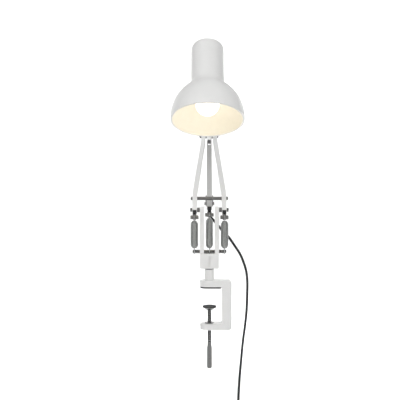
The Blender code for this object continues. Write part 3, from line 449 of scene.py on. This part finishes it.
def coil_path():
    """From the hanging cord into the coil, round its turns and out below."""
    outer = RING_MEAN + FIRST_OUT
    rise = math.sqrt((BEND + outer) ** 2 - BEND ** 2)
    entry = math.atan2(BEND, rise)
    points = []
    pivot = RING + Vector((BEND, 0, rise))
    for k in range(1, 12):
        angle = math.pi + (math.pi / 2 - entry) * k / 12
        side = 0.0055 * eased(k / 8)
        points.append(pivot + BEND * Vector((math.cos(angle), 0, math.sin(angle)))
                      + Vector((0, side, 0)))
    first = entry / (2 * math.pi)
    outer_last = RING_MEAN + LAST_OUT
    rise_last = math.sqrt((BEND + outer_last) ** 2 - BEND ** 2)
    leave = math.atan2(BEND, rise_last)
    last = len(PLACES) - 0.5 - leave / (2 * math.pi)
    count = int((last - first) * 64)
    for k in range(count + 1):
        done = first + (last - first) * k / count
        index = min(int(done), len(PLACES) - 1)
        mix = 1.0 if index == 0 else eased((done - index) / 0.22)
        now = PLACES[index]
        was = PLACES[max(index - 1, 0)]
        here = [(0.001 * r * math.cos(math.radians(a)), 0.001 * r * math.sin(math.radians(a)))
                for r, a in (was, now)]
        radial = here[0][0] * (1 - mix) + here[1][0] * mix
        axial = here[0][1] * (1 - mix) + here[1][1] * mix
        points.append(ring_point(done, radial, axial))
    pivot = RING + Vector((BEND, 0, -rise_last))
    for k in range(1, 13):
        angle = math.pi / 2 + leave + (math.pi / 2 - leave) * k / 12
        points.append(pivot + BEND * Vector((math.cos(angle), 0, math.sin(angle))))
    return points


outer_top = math.sqrt((BEND + RING_MEAN + FIRST_OUT) ** 2 - BEND ** 2)
hang_end = RING + Vector((0, 0, outer_top))
cord_points = smooth_route(ROUTE + [hang_end + Vector((0, 0, 0.0001))]) + coil_path()
cord = tube("mains_cord", cord_points, CORD_RADIUS, FLEX, 5)
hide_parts("cord", "cord_coil", "cord_tail")
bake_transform(cord)

tie_at = at(RING + Vector((0, 0, RING_MEAN)))
tie_side = [(0.0035, 0.0090), (-0.0035, 0.0090), (-0.0035, 0.0078), (0.0035, 0.0078)]
turned("cord_tie", BLACK, tie_side, tie_at, "cord", (), "x", 40, True, 0.0003)

plug_at = Matrix.Translation((RING.x, RING.y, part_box("plug")[1][2]))
plug_body = crossed("mains_plug", FLEX, rounded([
    (-0.0035, 0, 0.0012), (-0.0065, -0.010, 0.003), (-0.0170, -0.020, 0.005),
    (-0.0170, -0.034, 0.003), (0.0170, -0.034, 0.003), (0.0170, -0.020, 0.005),
    (0.0065, -0.010, 0.003), (0.0035, 0, 0.0012)]), 0.013,
    oblong(-0.0065, 0.0065, -0.036, 0.001), plug_at)
soften(plug_body, 0.0012, 4)
keep(plug_body, "cord", ["plug"])
for side, sign in (("left", -1), ("right", 1)):
    turned(f"plug_prong_{side}", CHROME, [
        (-0.0345, 0), (-0.0345, 0.0020), (-0.0520, 0.0020), (-0.0530, 0.0012), (-0.0530, 0)],
        plug_at @ Matrix.Translation((sign * 0.0095, 0, 0)), "cord", (), "z", 32)

# -------------------------------------------------------------- clamp
HERE = Matrix.Identity(4)
JAW = rounded([
    (-0.020, 0.015, 0), (-0.020, 0.003, 0), (0.0234, 0.003, 0.003), (0.0234, -0.0666, 0.003),
    (-0.020, -0.0666, 0), (-0.020, -0.0776, 0), (0.0418, -0.0776, 0.006), (0.0418, 0.015, 0.006)])
PLAN = rounded([(-0.018, -0.014, 0.01398), (0.0418, -0.014, 0.005), (0.0418, 0.014, 0.005),
                (-0.018, 0.014, 0.01398)], 16)
casting = crossed("clamp_casting", WHITE, JAW, 0.032, PLAN, HERE, "z")
casting = combine(casting, [bar(0.0089, 0.013, 0.035, "z", HERE)], "UNION")
casting = combine(casting, [bar(0.00675, 0.0055, 0.040, "z", HERE),
                            bar(0.0070, -0.080, -0.060, "z", HERE)], "DIFFERENCE")
soften(casting, 0.0011, 4, 40)
keep(casting, "clamp", ["clamp_frame"])

pad = plate("jaw_pad", rounded([
    (-0.0174, -0.0134, 0.0133), (0.0222, -0.0134, 0.002), (0.0222, 0.0134, 0.002),
    (-0.0174, 0.0134, 0.0133)], 16), 0.0027, "z", at((0, 0, 0.00135)), RUBBER)
keep(soften(pad, 0.0004, 2), "clamp", ["clamp_jaw_pad"])

turned("swivel_liner", NYLON, [
    (0.0365, 0.0085), (0.0353, 0.0085), (0.0353, 0.00645), (0.0058, 0.00645), (0.0058, 0.00505),
    (0.0365, 0.00505)], HERE, "clamp", ["swivel_bush"], closed=True)
turned("threaded_insert", CHROME, [
    (-0.0648, 0.0087), (-0.0663, 0.0087), (-0.0663, 0.0067), (-0.0776, 0.0067),
    (-0.0776, 0.0043), (-0.0648, 0.0043)], HERE, "clamp", ["thread_bush"], closed=True,
    edge=0.0003)


def helical_thread(name, material, radius, pitch, depth, top, bottom, matrix):
    """A real helical thread: one turn of the profile repeated down the shank."""
    mesh = bpy.data.meshes.new(name)
    edit = bmesh.new()
    around = 40
    rings = []
    rows_per_turn = 8
    count = int((top - bottom) / pitch * rows_per_turn)
    for row in range(count + 1):
        z = top - (top - bottom) * row / count
        line = []
        for k in range(around):
            turn = k / around
            phase = ((z - bottom) / pitch - turn) % 1.0
            fall = abs(phase - 0.5) * 2
            near_end = min(1.0, (top - z) / 0.0015, (z - bottom) / 0.0015)
            groove = depth * eased((fall - 0.15) / 0.7) * max(0.0, near_end)
            angle = 2 * math.pi * turn
            line.append(edit.verts.new(((radius - groove) * math.cos(angle),
                                        (radius - groove) * math.sin(angle), z)))
        rings.append(line)
    for upper, lower in zip(rings, rings[1:]):
        for k in range(around):
            edit.faces.new((upper[k], lower[k], lower[(k + 1) % around], upper[(k + 1) % around]))
    edit.faces.new(rings[0])
    edit.faces.new(rings[-1][::-1])
    bmesh.ops.recalc_face_normals(edit, faces=edit.faces)
    edit.to_mesh(mesh)
    edit.free()
    mesh.shade_smooth()
    mesh.set_sharp_from_angle(angle=math.radians(50))
    return add(name, mesh, material, matrix)


PIN_Z = -0.1062
thread = helical_thread("screw_thread", CHROME, 0.0040, 0.00125, 0.00065, -0.0389, -0.0990, HERE)
keep(thread, "clamp_screw", [])
knuckle = crossed("screw_tongue", CHROME, rounded([
    (-0.0038, 0.0072, 0.0006), (-0.0038, -0.0043, 0.00375), (0.0038, -0.0043, 0.00375),
    (0.0038, 0.0072, 0.0006)][::-1]), 0.005, oblong(-0.01, 0.01, -0.01, 0.02), at((0, 0, PIN_Z)))
soften(knuckle, 0.0004, 2)
keep(knuckle, "clamp_screw", ["clamp_screw"])
pin_at = at((0, 0, PIN_Z)) @ Matrix.Rotation(math.pi / 2, 4, "Z")
rod("hinge_pin", CHROME, 0.0015, -0.0051, 0.0051, pin_at, "clamp_screw", ["handle_pin"])
handle = bar(0.0049, -0.0453, 0.0049, "z", at((0, 0, PIN_Z)), name="handle_bar")
handle.data.materials.append(CHROME)
handle = combine(handle, [
    plate("round_top", oblong(-0.0049, 0.0049, -0.0453, 0.0049, 0.0030, 0.00488), 0.02, "y",
          at((0, 0, PIN_Z)))], "INTERSECT")
handle = combine(handle, [plate("gap", oblong(-0.0028, 0.0028, -0.0055, 0.010), 0.02, "x",
                                at((0, 0, PIN_Z)))], "DIFFERENCE")
soften(handle, 0.0005, 3, 40)
keep(handle, "clamp_handle", ["clamp_handle"])

PRESS = at((0, 0, -0.034))
turned("press_face", RUBBER, [(0, 0), (0, 0.0125), (-0.0015, 0.0130), (-0.0015, 0)], PRESS,
       "pressure_pad", ["pressure_pad_face"])
turned("press_cup", CHROME, [
    (-0.0018, 0), (-0.0018, 0.0130), (-0.0030, 0.0130), (-0.0045, 0.0108), (-0.0066, 0.0071),
    (-0.0076, 0.0065), (-0.0076, 0.0043), (-0.0045, 0.0043), (-0.0045, 0)], PRESS,
       "pressure_pad", ["pressure_pad"], edge=0.0003)

# --------------------------------------------------------------- fork
FORK = at((0, 0, 0.0368))
fork = crossed("fork_casting", WHITE, rounded([
    (-0.018, 0, 0.002), (0.018, 0, 0.002), (0.018, 0.1168, 0), (0.0102, 0.1168, 0),
    (0.0102, 0.028, 0.0006), (-0.0102, 0.028, 0.0006), (-0.0102, 0.1168, 0),
    (-0.018, 0.1168, 0)]), 0.018, rounded([
        (-0.009, 0, 0), (0.009, 0, 0), (0.009, 0.028, 0.0015), (0.0063, 0.028, 0.0008),
        (0.0063, 0.1168, 0.00628), (-0.0063, 0.1168, 0.00628), (-0.0063, 0.028, 0.0008),
        (-0.009, 0.028, 0.0015)]), FORK)
fork = combine(fork, [
    plate("slot", oblong(-0.0015, 0.0015, 0.0025, 0.0225, 0.0014), 0.006, "y",
          FORK @ Matrix.Translation((0, -0.009, 0))),
    plate("relief", oblong(-0.0018, 0.0018, 0.0259, 0.030), 0.0118, "y", FORK),
    bar(PIVOT_BORE, -0.03, 0.03, "x", FORK, (0, 0, 0.1105)),
    bar(PIN_BORE, -0.04, 0.04, "x", FORK, (0, 0, 0.0317)),
    bar(0.0051, -0.002, 0.0173, "z", FORK)], "DIFFERENCE")
soften(fork, 0.0007, 3, 40)
keep(fork, "fork", ["fork"])
turned("spindle_pin", CHROME, [(0.017, 0), (0.017, 0.0045), (0.0165, 0.00475), (-0.0305, 0.00475),
                               (-0.0307, 0.0043), (-0.0307, 0)], FORK, "fork", ["spindle"])
grooved = [(0.032, 0), (0.032, 0.0028), (0.0314, ANCHOR_RADIUS)]
for spot in (SPRING_SPREAD, 0, -SPRING_SPREAD):
    grooved += [(spot + 0.0016, ANCHOR_RADIUS), (spot + 0.0011, 0.0029), (spot - 0.0011, 0.0029),
                (spot - 0.0016, ANCHOR_RADIUS)]
grooved += [(-0.0314, ANCHOR_RADIUS), (-0.032, 0.0028), (-0.032, 0)]
turned("anchor_rod", CHROME, grooved, at(ANCHOR), "fork", ["spring_anchor_rod"], "x", 48,
       edge=0.0001)

ARM = at(A, LEAN)
for side, sign in (("left", -1), ("right", 1)):
    near, far = sorted((sign * 0.0183, sign * 0.0233))
    sleeve(f"pivot_sleeve_{side}", TURNED, PIVOT_BORE, 0.00465, near, far, ARM, "fork",
           [f"pivot_spacer_{side}"])
    head = [(0.0364, 0), (0.0364, 0.0016), (0.0358, 0.0020), (0.0358, 0.0030),
            (0.0364, 0.0033), (0.0364, 0.0035), (0.0360, 0.0038), (0.0327, 0.0038),
            (0.0327, 0.0026), (0.0106, 0.0026), (0.0106, 0)]
    facing = ARM if sign > 0 else ARM @ Matrix.Rotation(math.pi, 4, "Z")
    turned(f"shoulder_screw_{side}", CHROME, head, facing, "fork", [f"pivot_screw_{side}"], "x",
           48, edge=0.00015)


# ---------------------------------------------------------- lower arm
def bent_bar(sign, start, end):
    """A bar that runs straight past the rod, then in towards the elbow."""
    middle = [(BAR_SPREAD, start), (BAR_SPREAD, ROD_UP + 0.006), (BAR_SPREAD, ROD_UP + 0.012),
              (0.0276, ROD_UP + 0.017), (0.0131, LOWER - 0.023), (0.0127, LOWER - 0.018),
              (0.0127, end)]
    right = [(sign * x + 0.0044, z) for x, z in middle]
    left = [(sign * x - 0.0044, z) for x, z in middle]
    return [Vector(p) for p in right + left[::-1]]


for side, sign in (("left", -1), ("right", 1)):
    outer = crossed(f"outer_bar_{side}", WHITE, bent_bar(sign, -0.005, 0.2305), 0.015,
                    bar_side(-0.005, 0.2285), ARM)
    outer = combine(outer, [bar(PIVOT_BORE, -0.04, 0.04, "x", ARM),
                            bar(ROD_BORE, -0.04, 0.04, "x", ARM, (0, 0, ROD_UP)),
                            bar(PIVOT_BORE, -0.04, 0.04, "x", ARM, (0, 0, LOWER))], "DIFFERENCE")
    soften(outer, 0.0011, 4, 40)
    keep(outer, "lower_arm", [f"lower_arm_{side}"])


def end_plug(name, x, start, pin, matrix, body, node, hook_x):
    """A black cap on the bar's end and a metal yoke for the spring's pin."""
    for part, material, low, high in (("cap", BLACK, pin + 0.0040, start),
                                      ("yoke", TURNED, pin - 0.0052, pin + 0.0040)):
        radius = 0.0051 if part == "yoke" else 0.0004
        width = 0.0035 if part == "cap" else 0.0028
        piece = crossed(f"{name}_{part}", material, oblong(
            x - width, x + width, low, high, 0.0010 if part == "yoke" else 0.0006, 0.0004), 0.015,
            oblong(-0.0052, 0.0052, low, high, radius, 0.0004), matrix)
        piece = combine(piece, [
            bar(0.0039, x - 0.01, x + 0.01, "x", matrix, (0, 0, pin)),
            plate("room", oblong(hook_x - 0.0013, hook_x + 0.0013, pin - 0.01, pin + 0.0062),
                  0.02, "y", matrix)], "DIFFERENCE")
        soften(piece, 0.0005, 3, 40)
        keep(piece, body, [node])


for side, sign in (("left", -1), ("right", 1)):
    end_plug(f"bar_end_plug_{side}", sign * BAR_SPREAD, -0.0053, -SPRING_ARM, ARM, "lower_arm",
             f"arm_plug_{side}", sign * SPRING_SPREAD)
    rod(f"spring_spool_{side}", TURNED, SPOOL_RADIUS, sign * BAR_SPREAD - 0.0076,
        sign * BAR_SPREAD + 0.0076,
        ARM @ Matrix.Translation((0, 0, -SPRING_ARM)), "lower_arm", [f"spring_pin_{side}"])
ROD = at(E, DROP)
rod("balance_bar", TURNED, 0.00345, -0.036, 0.036, ROD, "lower_arm", ["balance_rod"], 0.0008)
ELBOW = at(B, RISE)
turned("elbow_screw", CHROME, [
    (0.0201, 0), (0.0201, 0.0018), (0.0196, 0.0022), (0.0196, 0.0030), (0.0201, 0.0034),
    (0.0195, 0.0042), (0.0174, 0.0042), (0.0174, 0.0026), (-0.0216, 0.0026), (-0.0216, 0)],
       ELBOW, "lower_arm", ["elbow_bolt"], "x", 48, edge=0.00015)
nut = plate("elbow_hex_nut", [Vector((0.0048 * math.cos(k * math.pi / 3),
                                      0.0048 * math.sin(k * math.pi / 3))) for k in range(6)],
            0.0033, "x", ELBOW @ Matrix.Translation((-0.01905, 0, 0)), CHROME)
nut = combine(nut, [bar(PIVOT_BORE, -0.03, 0.03, "x", ELBOW)], "DIFFERENCE")
keep(soften(nut, 0.0003, 2), "lower_arm", ["elbow_nut"])

# ----------------------------------------------------- crank and link
for side, sign in (("left", -1), ("right", 1)):
    cheek = plate(f"crank_cheek_{side}", oblong(-0.0058, 0.0058, -0.0058, 0.0298, 0.00575),
                  0.0018, "x", ROD @ Matrix.Translation((sign * 0.00645, 0, 0)), TURNED)
    cheek = combine(cheek, [bar(ROD_BORE, -0.02, 0.02, "x", ROD),
                            bar(PIN_BORE, -0.02, 0.02, "x", ROD, (0, 0, CRANK))], "DIFFERENCE")
    keep(soften(cheek, 0.0004, 2), "crank", [f"crank_plate_{side}"])
rod("crank_pivot", TURNED, 0.0034, -0.0098, 0.0098, ROD @ Matrix.Translation((0, 0, CRANK)),
    "crank", ["crank_pin"])

LINK = at(D, LEAN)
reach = LOWER - ROD_UP
link = crossed("centre_link", SATIN, oblong(-0.00525, 0.00525, -0.0125, reach + 0.0075), 0.015,
               bar_side(-0.0125, reach + 0.0055), LINK)
link = combine(link, [
    bar(PIN_BORE, -0.02, 0.02, "x", LINK), bar(PIVOT_BORE, -0.02, 0.02, "x", LINK, (0, 0, reach)),
    plate("clevis", oblong(-0.00335, 0.00335, reach - 0.017, reach + 0.01), 0.03, "y", LINK)],
    "DIFFERENCE")
soften(link, 0.0009, 4, 40)
keep(link, "link", ["link_bar"])
end_plug("link_end_plug", 0, -0.0128, -ROD_UP, LINK, "link", "link_plug", 0)
rod("centre_spool", TURNED, SPOOL_RADIUS, -0.0082, 0.0082,
    LINK @ Matrix.Translation((0, 0, -ROD_UP)), "link", ["spring_pin_centre"])
relief_at = at(D - step(LEAN, GLAND_DROP) + step(ACROSS, 0.0052), ACROSS)
ribs = [(0.0062, 0), (0.0062, 0.0029)]
for k in range(3):
    low = 0.0056 - 0.0014 * k
    ribs += [(low, 0.0030 + 0.0002 * k), (low - 0.0006, 0.0032 + 0.0002 * k),
             (low - 0.0008, 0.0027), (low - 0.0012, 0.0027)]
ribs += [(0.0012, 0.0042), (0.0003, 0.0042), (0.0003, 0)]
turned("cord_relief", BLACK, ribs, relief_at, "link", ["cord_gland"], edge=0.00015)

# ---------------------------------------------------------- upper arm
upper = crossed("upper_bar", WHITE, oblong(-0.005, 0.005, -0.0078, UPPER + 0.0075), 0.015,
                bar_side(-0.0078, UPPER + 0.0055), ELBOW)
upper = combine(upper, [bar(PIVOT_BORE, -0.02, 0.02, "x", ELBOW),
                        bar(PIVOT_BORE, -0.02, 0.02, "x", ELBOW, (0, 0, UPPER))], "DIFFERENCE")
soften(upper, 0.0011, 4, 40)
keep(upper, "upper_arm", ["upper_arm"])
for side, near, far in (("left", -0.0080, -0.0053), ("right", 0.0053, 0.0080)):
    sleeve(f"elbow_sleeve_{side}", TURNED, PIVOT_BORE, 0.0052, near, far, ELBOW, "upper_arm",
           [f"elbow_spacer_{side}"])
TAIL = at(C, DROP)
tail = crossed("tail_block", BLACK, oblong(-0.00305, 0.00305, -0.0152, 0.0045), 0.011,
               oblong(-0.0044, 0.0044, -0.0152, 0.0045, 0.0004, 0.00438), TAIL)
tail = combine(tail, [bar(PIVOT_BORE, -0.02, 0.02, "x", TAIL)], "DIFFERENCE")
keep(soften(tail, 0.0006, 3, 40), "upper_arm", ["tail_cap"])
rod("link_pivot", TURNED, 0.0026, -0.00565, 0.00565, TAIL, "upper_arm", ["link_pin"])

KNEE = at(P, SHADE_LEAN - math.pi / 2)
tilt = crossed("tilt_bracket", WHITE, rounded([
    (-0.0083, -0.0055, 0), (-0.0053, -0.0055, 0), (-0.0053, 0.0067, 0.0006),
    (0.0053, 0.0067, 0.0006), (0.0053, -0.0055, 0), (0.0083, -0.0055, 0),
    (0.0083, 0.0102, 0.002), (-0.0083, 0.0102, 0.002)]), 0.016,
    oblong(-0.0058, 0.0058, -0.0055, 0.0102, 0.0054, 0.001), KNEE)
tilt = combine(tilt, [bar(0.0050, 0.0095, 0.0197, "z", KNEE, (SHADE_SHIFT, 0, 0)),
                      bar(0.0026, 0.0190, 0.0252, "z", KNEE, (SHADE_SHIFT, 0, 0))], "UNION")
tilt = combine(tilt, [bar(PIVOT_BORE, -0.02, 0.02, "x", KNEE)], "DIFFERENCE")
soften(tilt, 0.0007, 3, 40)
keep(tilt, "shade_knuckle", ["shade_knuckle"])
turned("tilt_knob", BLACK, [
    (0.0123, 0), (0.0123, 0.0050), (0.0115, 0.0060), (0.0086, 0.0060), (0.0086, 0.0026),
    (-0.0103, 0.0026), (-0.0103, 0)], KNEE, "upper_arm", ["tilt_screw"], "x", 48, edge=0.0004)

# -------------------------------------------------------------- shade
SHADE = at(RIM, SHADE_LEAN)
WALL = 0.0011
SHADE_TOP, FLARE_TOP, BELL_TOP = 0.145, 0.074, 0.061     # heights above the rim
NECK_RADIUS = 0.028
SHOULDER = 0.011
STUB_BORE = 0.0029


def shade_outer():
    """Outer side of the shade: flat top, straight neck, flare and bell."""
    side = [(SHADE_TOP, 0.0072), (SHADE_TOP, 0.0120)]
    for k in range(13):
        angle = math.pi / 2 * k / 12
        side.append((SHADE_TOP - SHOULDER * (1 - math.cos(angle)),
                     0.017 + SHOULDER * math.sin(angle)))
    side += [(0.120, NECK_RADIUS), (0.100, NECK_RADIUS), (0.084, NECK_RADIUS)]
    for k in range(9):
        share = k / 8
        side.append((FLARE_TOP - 0.013 * share, NECK_RADIUS + 0.004 * share ** 2.2))
    for k in range(1, 25):
        share = k / 24
        side.append((BELL_TOP * (1 - share),
                     0.032 + 0.029 * (1 - (1 - share) ** 2.35) ** 0.86))
    return side


outer_side = shade_outer()
inner_side = []
for i, (z, radius) in enumerate(outer_side):
    before = Vector(outer_side[max(i - 1, 0)])
    after = Vector(outer_side[min(i + 1, len(outer_side) - 1)])
    along = (after - before).normalized()
    inner_side.append((z - along.y * WALL, radius + along.x * WALL))
inner_side[0] = (SHADE_TOP - WALL, 0.0072)
# The edge of the bell is turned in to a thick lip.
inner_side[-2:] = [(0.0040, 0.0594), (0.0030, 0.0580), (0.0004, 0.0577)]
lip = [(-0.0003, 0.0604), (-0.0003, 0.0582)]
shell = turned("bell_shade", WHITE, outer_side + lip + inner_side[::-1], SHADE, None, steps=128,
               closed=True, edge=0)
shell.data.materials.append(INNER_PAINTED_GLOW)
# Faces that look at the axis, and the underside of the top, are the inner side, which takes the
# white paint with a painted warm glow of the bulb.
for face in shell.data.polygons:
    middle = face.center
    outward = Vector((middle.x, middle.y, 0)).normalized()
    if face.normal.dot(outward) < -0.05 or (face.normal.z < -0.5 and middle.z > 0.1):
        face.material_index = 1
shell = combine(shell, [bar(STUB_BORE, 0.022, 0.034, "y", SHADE, (0, 0, STUB_HEIGHT))],
                "DIFFERENCE")
shell.data.shade_smooth()
shell.data.set_sharp_from_angle(angle=math.radians(28))
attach(shell, "shade")
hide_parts("shade")

turned("lamp_socket", BLACK, [
    (0.1285, 0), (0.1285, 0.0155), (0.1245, 0.0195), (0.062, 0.0195), (0.062, 0.0135),
    (0.084, 0.0135), (0.084, 0)], SHADE, "shade", ["lamp_holder"], edge=0.0004)
turned("bulb_base", CHROME, [
    (0.083, 0), (0.083, 0.006), (0.080, 0.0132), (0.061, 0.0132), (0.061, 0)], SHADE, "shade",
    ["bulb_cap"], edge=0.0002)
globe = [(0.0607, 0), (0.0607, 0.0124)]
for k in range(33):
    angle = math.radians(44) + (math.pi - math.radians(44)) * k / 32
    globe.append((0.030 + 0.020 * math.cos(angle), 0.020 * math.sin(angle)))
globe[-1] = (0.010, 0)
turned("lamp_bulb", GLASS, globe, SHADE, "shade", ["bulb"], edge=0)
turned("switch_collar", BLACK, [
    (0.1468, 0.0080), (0.1453, 0.0089), (0.1453, 0.0069), (0.1288, 0.0069), (0.1288, 0.0048),
    (0.1468, 0.0048)], SHADE, "shade", ["switch_body"], closed=True, edge=0.0003)
turned("push_button", BLACK, [
    (0.1488, 0), (0.1488, 0.0034), (0.1482, 0.0045), (0.1334, 0.0045), (0.1334, 0)], SHADE,
    "switch_button", ["switch_button"], edge=0.0003)


# ------------------------------------------------------------ springs
STEM = 0.0069                       # from a pin to the near end of the coil
COIL_PITCH = 0.00178
COIL_SIDES = 22
CONE = 0.0065                       # length over which the coil's ends narrow


def hook_line(pin_radius, up):
    """A hook round a pin on the X axis, with a stem into the coil."""
    loop = pin_radius + WIRE_RADIUS + 0.0003
    points = []
    for k in range(41):
        angle = math.radians(-225 + 270 * k / 40)
        points.append(Vector((0, loop * math.cos(angle), loop * math.sin(angle) * up)))
    start = points[-1]
    for k in range(1, 9):
        share = eased(k / 8)
        points.append(Vector((0, start.y * (1 - share), 0)) + Vector((0, 0, up * (
            abs(start.z) + (STEM - abs(start.z)) * k / 8))))
    points += [Vector((0, 0, up * 0.0095)), Vector((0, 0, up * 0.0129))]
    return points


def coil_line(length, low=0.0, high=1.0):
    """Part of a close-wound coil with coned ends."""
    body = length - 2 * STEM
    turns = round(body / COIL_PITCH)
    points = []
    for k in range(int(turns * COIL_SIDES * low), int(turns * COIL_SIDES * high) + 1):
        z = body * k / (turns * COIL_SIDES)
        edge = min(z, body - z, CONE) / CONE
        radius = 0.0026 + 0.0038 * math.sin(edge * math.pi / 2)
        angle = 2 * math.pi * k / COIL_SIDES
        points.append(Vector((radius * math.cos(angle), radius * math.sin(angle), STEM + z)))
    return points


def fit_spring(name, base, tip, low_body, coil_body, top_body, split):
    """Two hooks and a coil between two pins."""
    reach = tip - base
    lean = math.atan2(reach.y, reach.z)
    low_at, tip_at = at(base, lean), at(tip, lean)
    for end, matrix, line, body in (
            ("low", low_at, hook_line(ANCHOR_RADIUS, 1), low_body),
            ("top", tip_at, hook_line(SPOOL_RADIUS, -1), top_body)):
        hook = tube(f"{name}_{end}_eye", [matrix @ p for p in line], WIRE_RADIUS, SPRING)
        keep(hook, body, [f"{name}_hook_{end}"])
    ends = [low_at @ Vector((0, 0, STEM)), low_at @ Vector((0, 0, reach.length / 2)),
            low_at @ Vector((0, 0, reach.length - STEM))]
    if split:
        parts = [("lower_half", 0.0, 0.5, low_body, coil_body, ends[0], ends[1]),
                 ("upper_half", 0.5, 1.0, coil_body, top_body, ends[1], ends[2])]
    else:
        parts = [("winding", 0.0, 1.0, low_body, top_body, ends[0], ends[2])]
    for part, low, high, first, second, start, end in parts:
        line = [low_at @ p for p in coil_line(reach.length, low, high)]
        coil = tube(f"{name}_{part}", line, WIRE_RADIUS, SPRING, 2)
        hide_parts(f"{name}_coil")
        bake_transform(coil)


for side, sign in (("left", -1), ("right", 1)):
    shift = X_AXIS * sign * SPRING_SPREAD
    fit_spring(f"spring_{side}", ANCHOR + shift, G + shift, "outer_springs", "outer_springs",
               "outer_spring_tops", False)
fit_spring("spring_centre", ANCHOR, F, "fork", "centre_spring", "centre_spring_top", True)

# ------------------------------------------------------ floor and light
FLOOR = surface("pale_floor", (0.93, 0.93, 0.93), 0.6, shade=0.01, scale=3, bump=0.01)
floor_mesh = bpy.data.meshes.new("backdrop")
edit = bmesh.new()
SWEEP_START, SWEEP_RADIUS, FLOOR_DROP = 1.6, 0.8, 0.40
sweep = [(-3.0, 0.0), (SWEEP_START, 0.0)]
for k in range(1, 17):
    angle = math.pi / 2 * k / 16
    sweep.append((SWEEP_START + SWEEP_RADIUS * math.sin(angle),
                  SWEEP_RADIUS * (1 - math.cos(angle))))
sweep.append((2.4, 4.0))
rows = [[edit.verts.new((x, y, z - FLOOR_DROP)) for x in (-4.0, 4.0)] for y, z in sweep]
for near, far in zip(rows, rows[1:]):
    edit.faces.new((near[0], near[1], far[1], far[0]))
edit.to_mesh(floor_mesh)
edit.free()
floor_mesh.shade_smooth()
backdrop = add("backdrop", floor_mesh, FLOOR, HERE)


def softbox(name, place, target, width, height, power, spread=180):
    """A flat area light aimed at a point."""
    light = bpy.data.lights.new(name, "AREA")
    light.shape = "RECTANGLE"
    light.size = width
    light.size_y = height
    light.energy = power
    light.spread = math.radians(spread)
    obj = bpy.data.objects.new(name, light)
    obj.location = place
    obj.rotation_euler = (Vector(target) - Vector(place)).to_track_quat("-Z", "Y").to_euler()
    bpy.context.scene.collection.objects.link(obj)


softbox("key", (-0.9, -1.6, 1.2), (0, 0, 0.15), 1.3, 1.3, 17)
softbox("fill", (0.9, -1.7, 0.6), (0, 0, 0.1), 1.2, 1.6, 12)
softbox("top", (0.1, 0.1, 1.9), (0, 0, 0.1), 1.2, 1.2, 2)
softbox("floor_wash", (0, 1.2, 1.7), (0, 1.25, -0.4), 5.0, 0.3, 34, 62)
softbox("wall_wash", (0, 1.25, 1.8), (0, 2.4, 1.0), 5.0, 0.3, 34, 120)
inside = bpy.data.lights.new("bulb_light", "POINT")
inside.energy = 0.02
inside.color = (1.0, 0.86, 0.62)
inside.shadow_soft_size = 0.012
lamp = bpy.data.objects.new("bulb_light", inside)
lamp.location = SHADE @ Vector((0, 0, 0.004))
bpy.context.scene.collection.objects.link(lamp)

world = bpy.data.worlds.new("studio")
world.use_nodes = True
nodes = world.node_tree.nodes
links = world.node_tree.links
facing = nodes.new("ShaderNodeTexCoord")
parts = nodes.new("ShaderNodeSeparateXYZ")
room = nodes.new("ShaderNodeValToRGB")
room.color_ramp.elements[0].color = (0.16, 0.16, 0.16, 1)
room.color_ramp.elements[1].color = (0.85, 0.85, 0.85, 1)
room.color_ramp.elements[0].position = 0.10
room.color_ramp.elements[1].position = 0.75
half = nodes.new("ShaderNodeMapRange")
half.inputs["From Min"].default_value = -1
links.new(facing.outputs["Generated"], parts.inputs["Vector"])
links.new(parts.outputs["Y"], half.inputs["Value"])
links.new(half.outputs["Result"], room.inputs["Fac"])
links.new(room.outputs["Color"], nodes["Background"].inputs["Color"])
nodes["Background"].inputs["Strength"].default_value = 0.7
bpy.context.scene.world = world
bpy.context.scene.view_settings.view_transform = "Standard"
